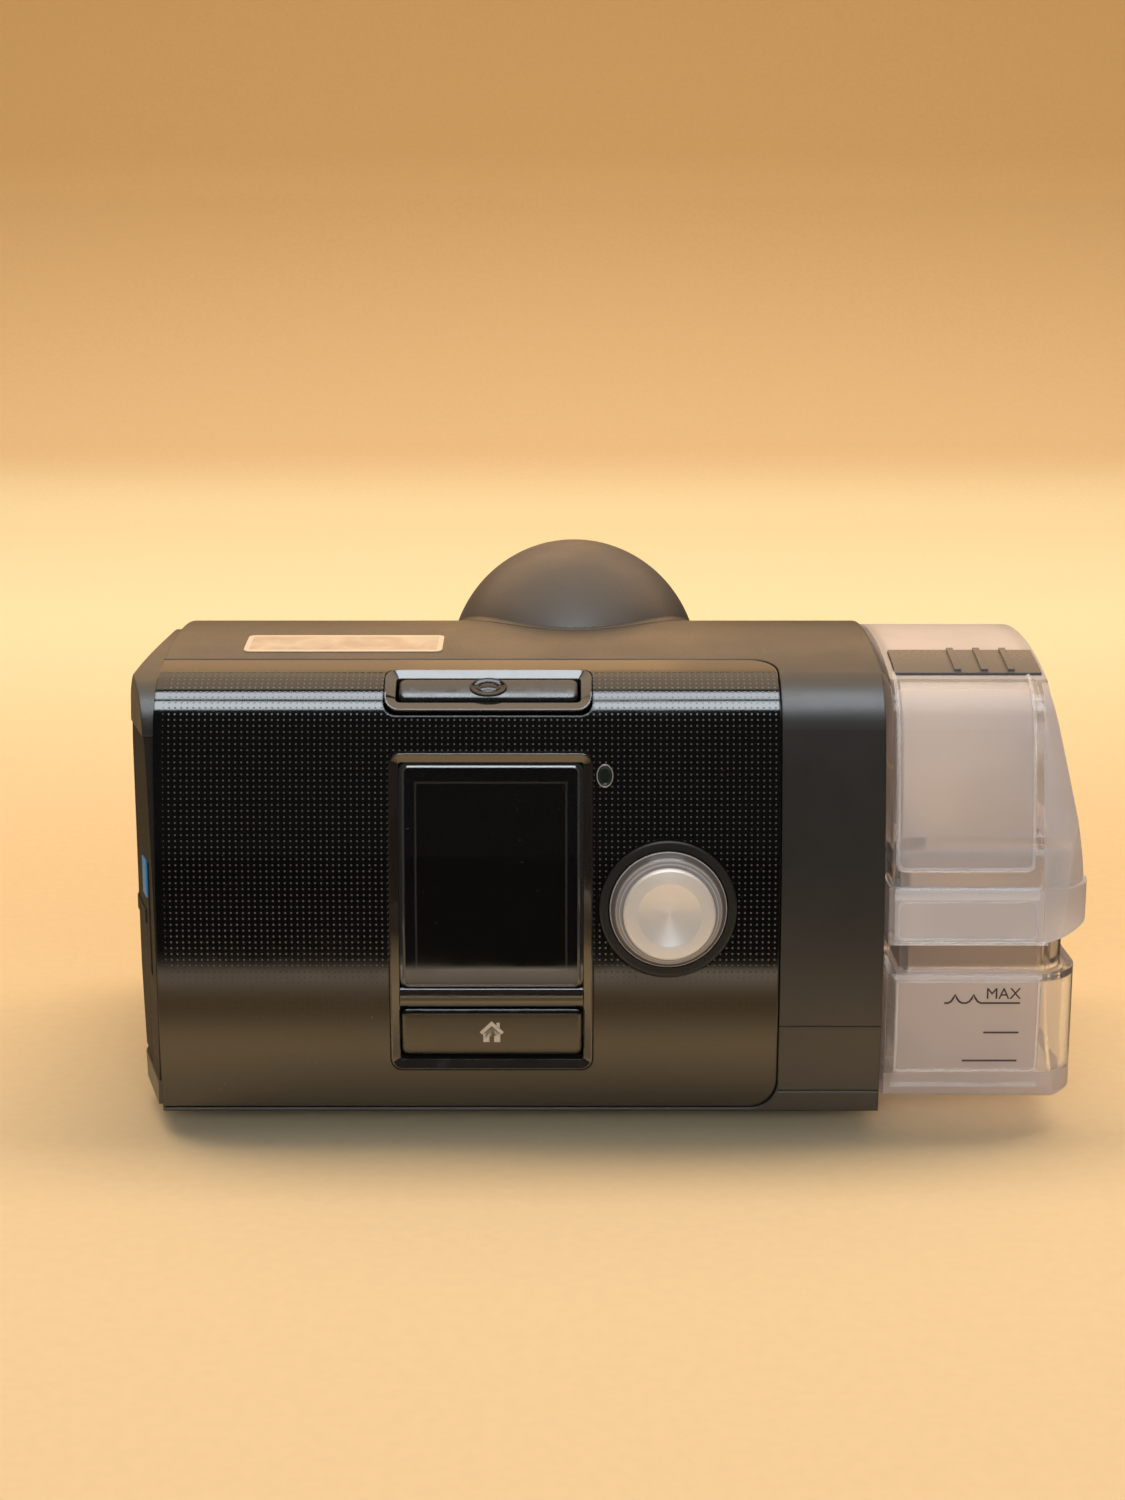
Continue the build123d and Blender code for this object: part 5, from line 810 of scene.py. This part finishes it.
def world():
    """Grey room light, much darker where a gloss surface reflects it."""
    made = bpy.data.worlds.new("room")
    made.use_nodes = True
    tree = made.node_tree
    back = tree.nodes["Background"]
    back.inputs["Color"].default_value = (0.9, 0.9, 0.92, 1)
    back.inputs["Strength"].default_value = 0.12
    dim = tree.nodes.new("ShaderNodeBackground")
    dim.inputs["Color"].default_value = (0.02, 0.02, 0.02, 1)
    path = tree.nodes.new("ShaderNodeLightPath")
    reflected = tree.nodes.new("ShaderNodeMath")
    reflected.operation = "SUBTRACT"
    reflected.use_clamp = True
    tree.links.new(path.outputs["Is Glossy Ray"], reflected.inputs[0])
    tree.links.new(path.outputs["Is Transmission Ray"], reflected.inputs[1])
    mix = tree.nodes.new("ShaderNodeMixShader")
    tree.links.new(reflected.outputs[0], mix.inputs[0])
    tree.links.new(back.outputs[0], mix.inputs[1])
    tree.links.new(dim.outputs[0], mix.inputs[2])
    tree.links.new(mix.outputs[0], tree.nodes["World Output"].inputs[0])
    bpy.context.scene.world = made


CAMERA_AT, CAMERA_DOWN = (-0.0084, -0.5194, 0.1795), radians(12)
FILM_HEIGHT, LENS = 36.0, 54.07      # 2253 pixels of the photo's 1500


def camera():
    """Camera where the photo was taken from."""
    data = bpy.data.cameras.new("camera")
    data.sensor_fit = "VERTICAL"
    data.sensor_height = FILM_HEIGHT
    data.lens = LENS
    data.clip_start = 0.01
    obj = bpy.data.objects.new("camera", data)
    obj.matrix_world = Matrix.Translation(CAMERA_AT) @ Matrix.Rotation(pi / 2 - CAMERA_DOWN, 4, "X")
    bpy.context.scene.collection.objects.link(obj)
    bpy.context.scene.camera = obj


backdrop()
COOL, WARM = (0.88, 0.95, 1.0), (1.0, 0.76, 0.53)
lamp("front_box", (0, -1.03, 1.6), (0, -1.03, 0), (1.2, 0.58), 10.4, COOL, diffuse=False)
lamp("over_box", (0, -0.41, 1.6), (0, -0.41, 0), (1.2, 0.4), 6.4, COOL, diffuse=False)
lamp("back_box", (0, 0.7, 1.6), (0, 0.7, 0), (3.4, 1.5), 17, WARM)
lamp("wall_box", (0, 1.5, 1.02), (0, 0, 1.02), (2.8, 0.96), 12, (1.0, 0.63, 0.34), diffuse=False)
lamp("top_box", (0, 0.4, 1.6), (0, 0.4, 0), (2.4, 0.6), 27, WARM, gloss=False)
lamp("fill_box", (0, -2.2, 0.9), (0, 0, 0.05), (2.0, 0.8), 20, (0.94, 0.97, 1.0), gloss=False)
world()
camera()
bpy.context.scene.view_settings.view_transform = "Standard"
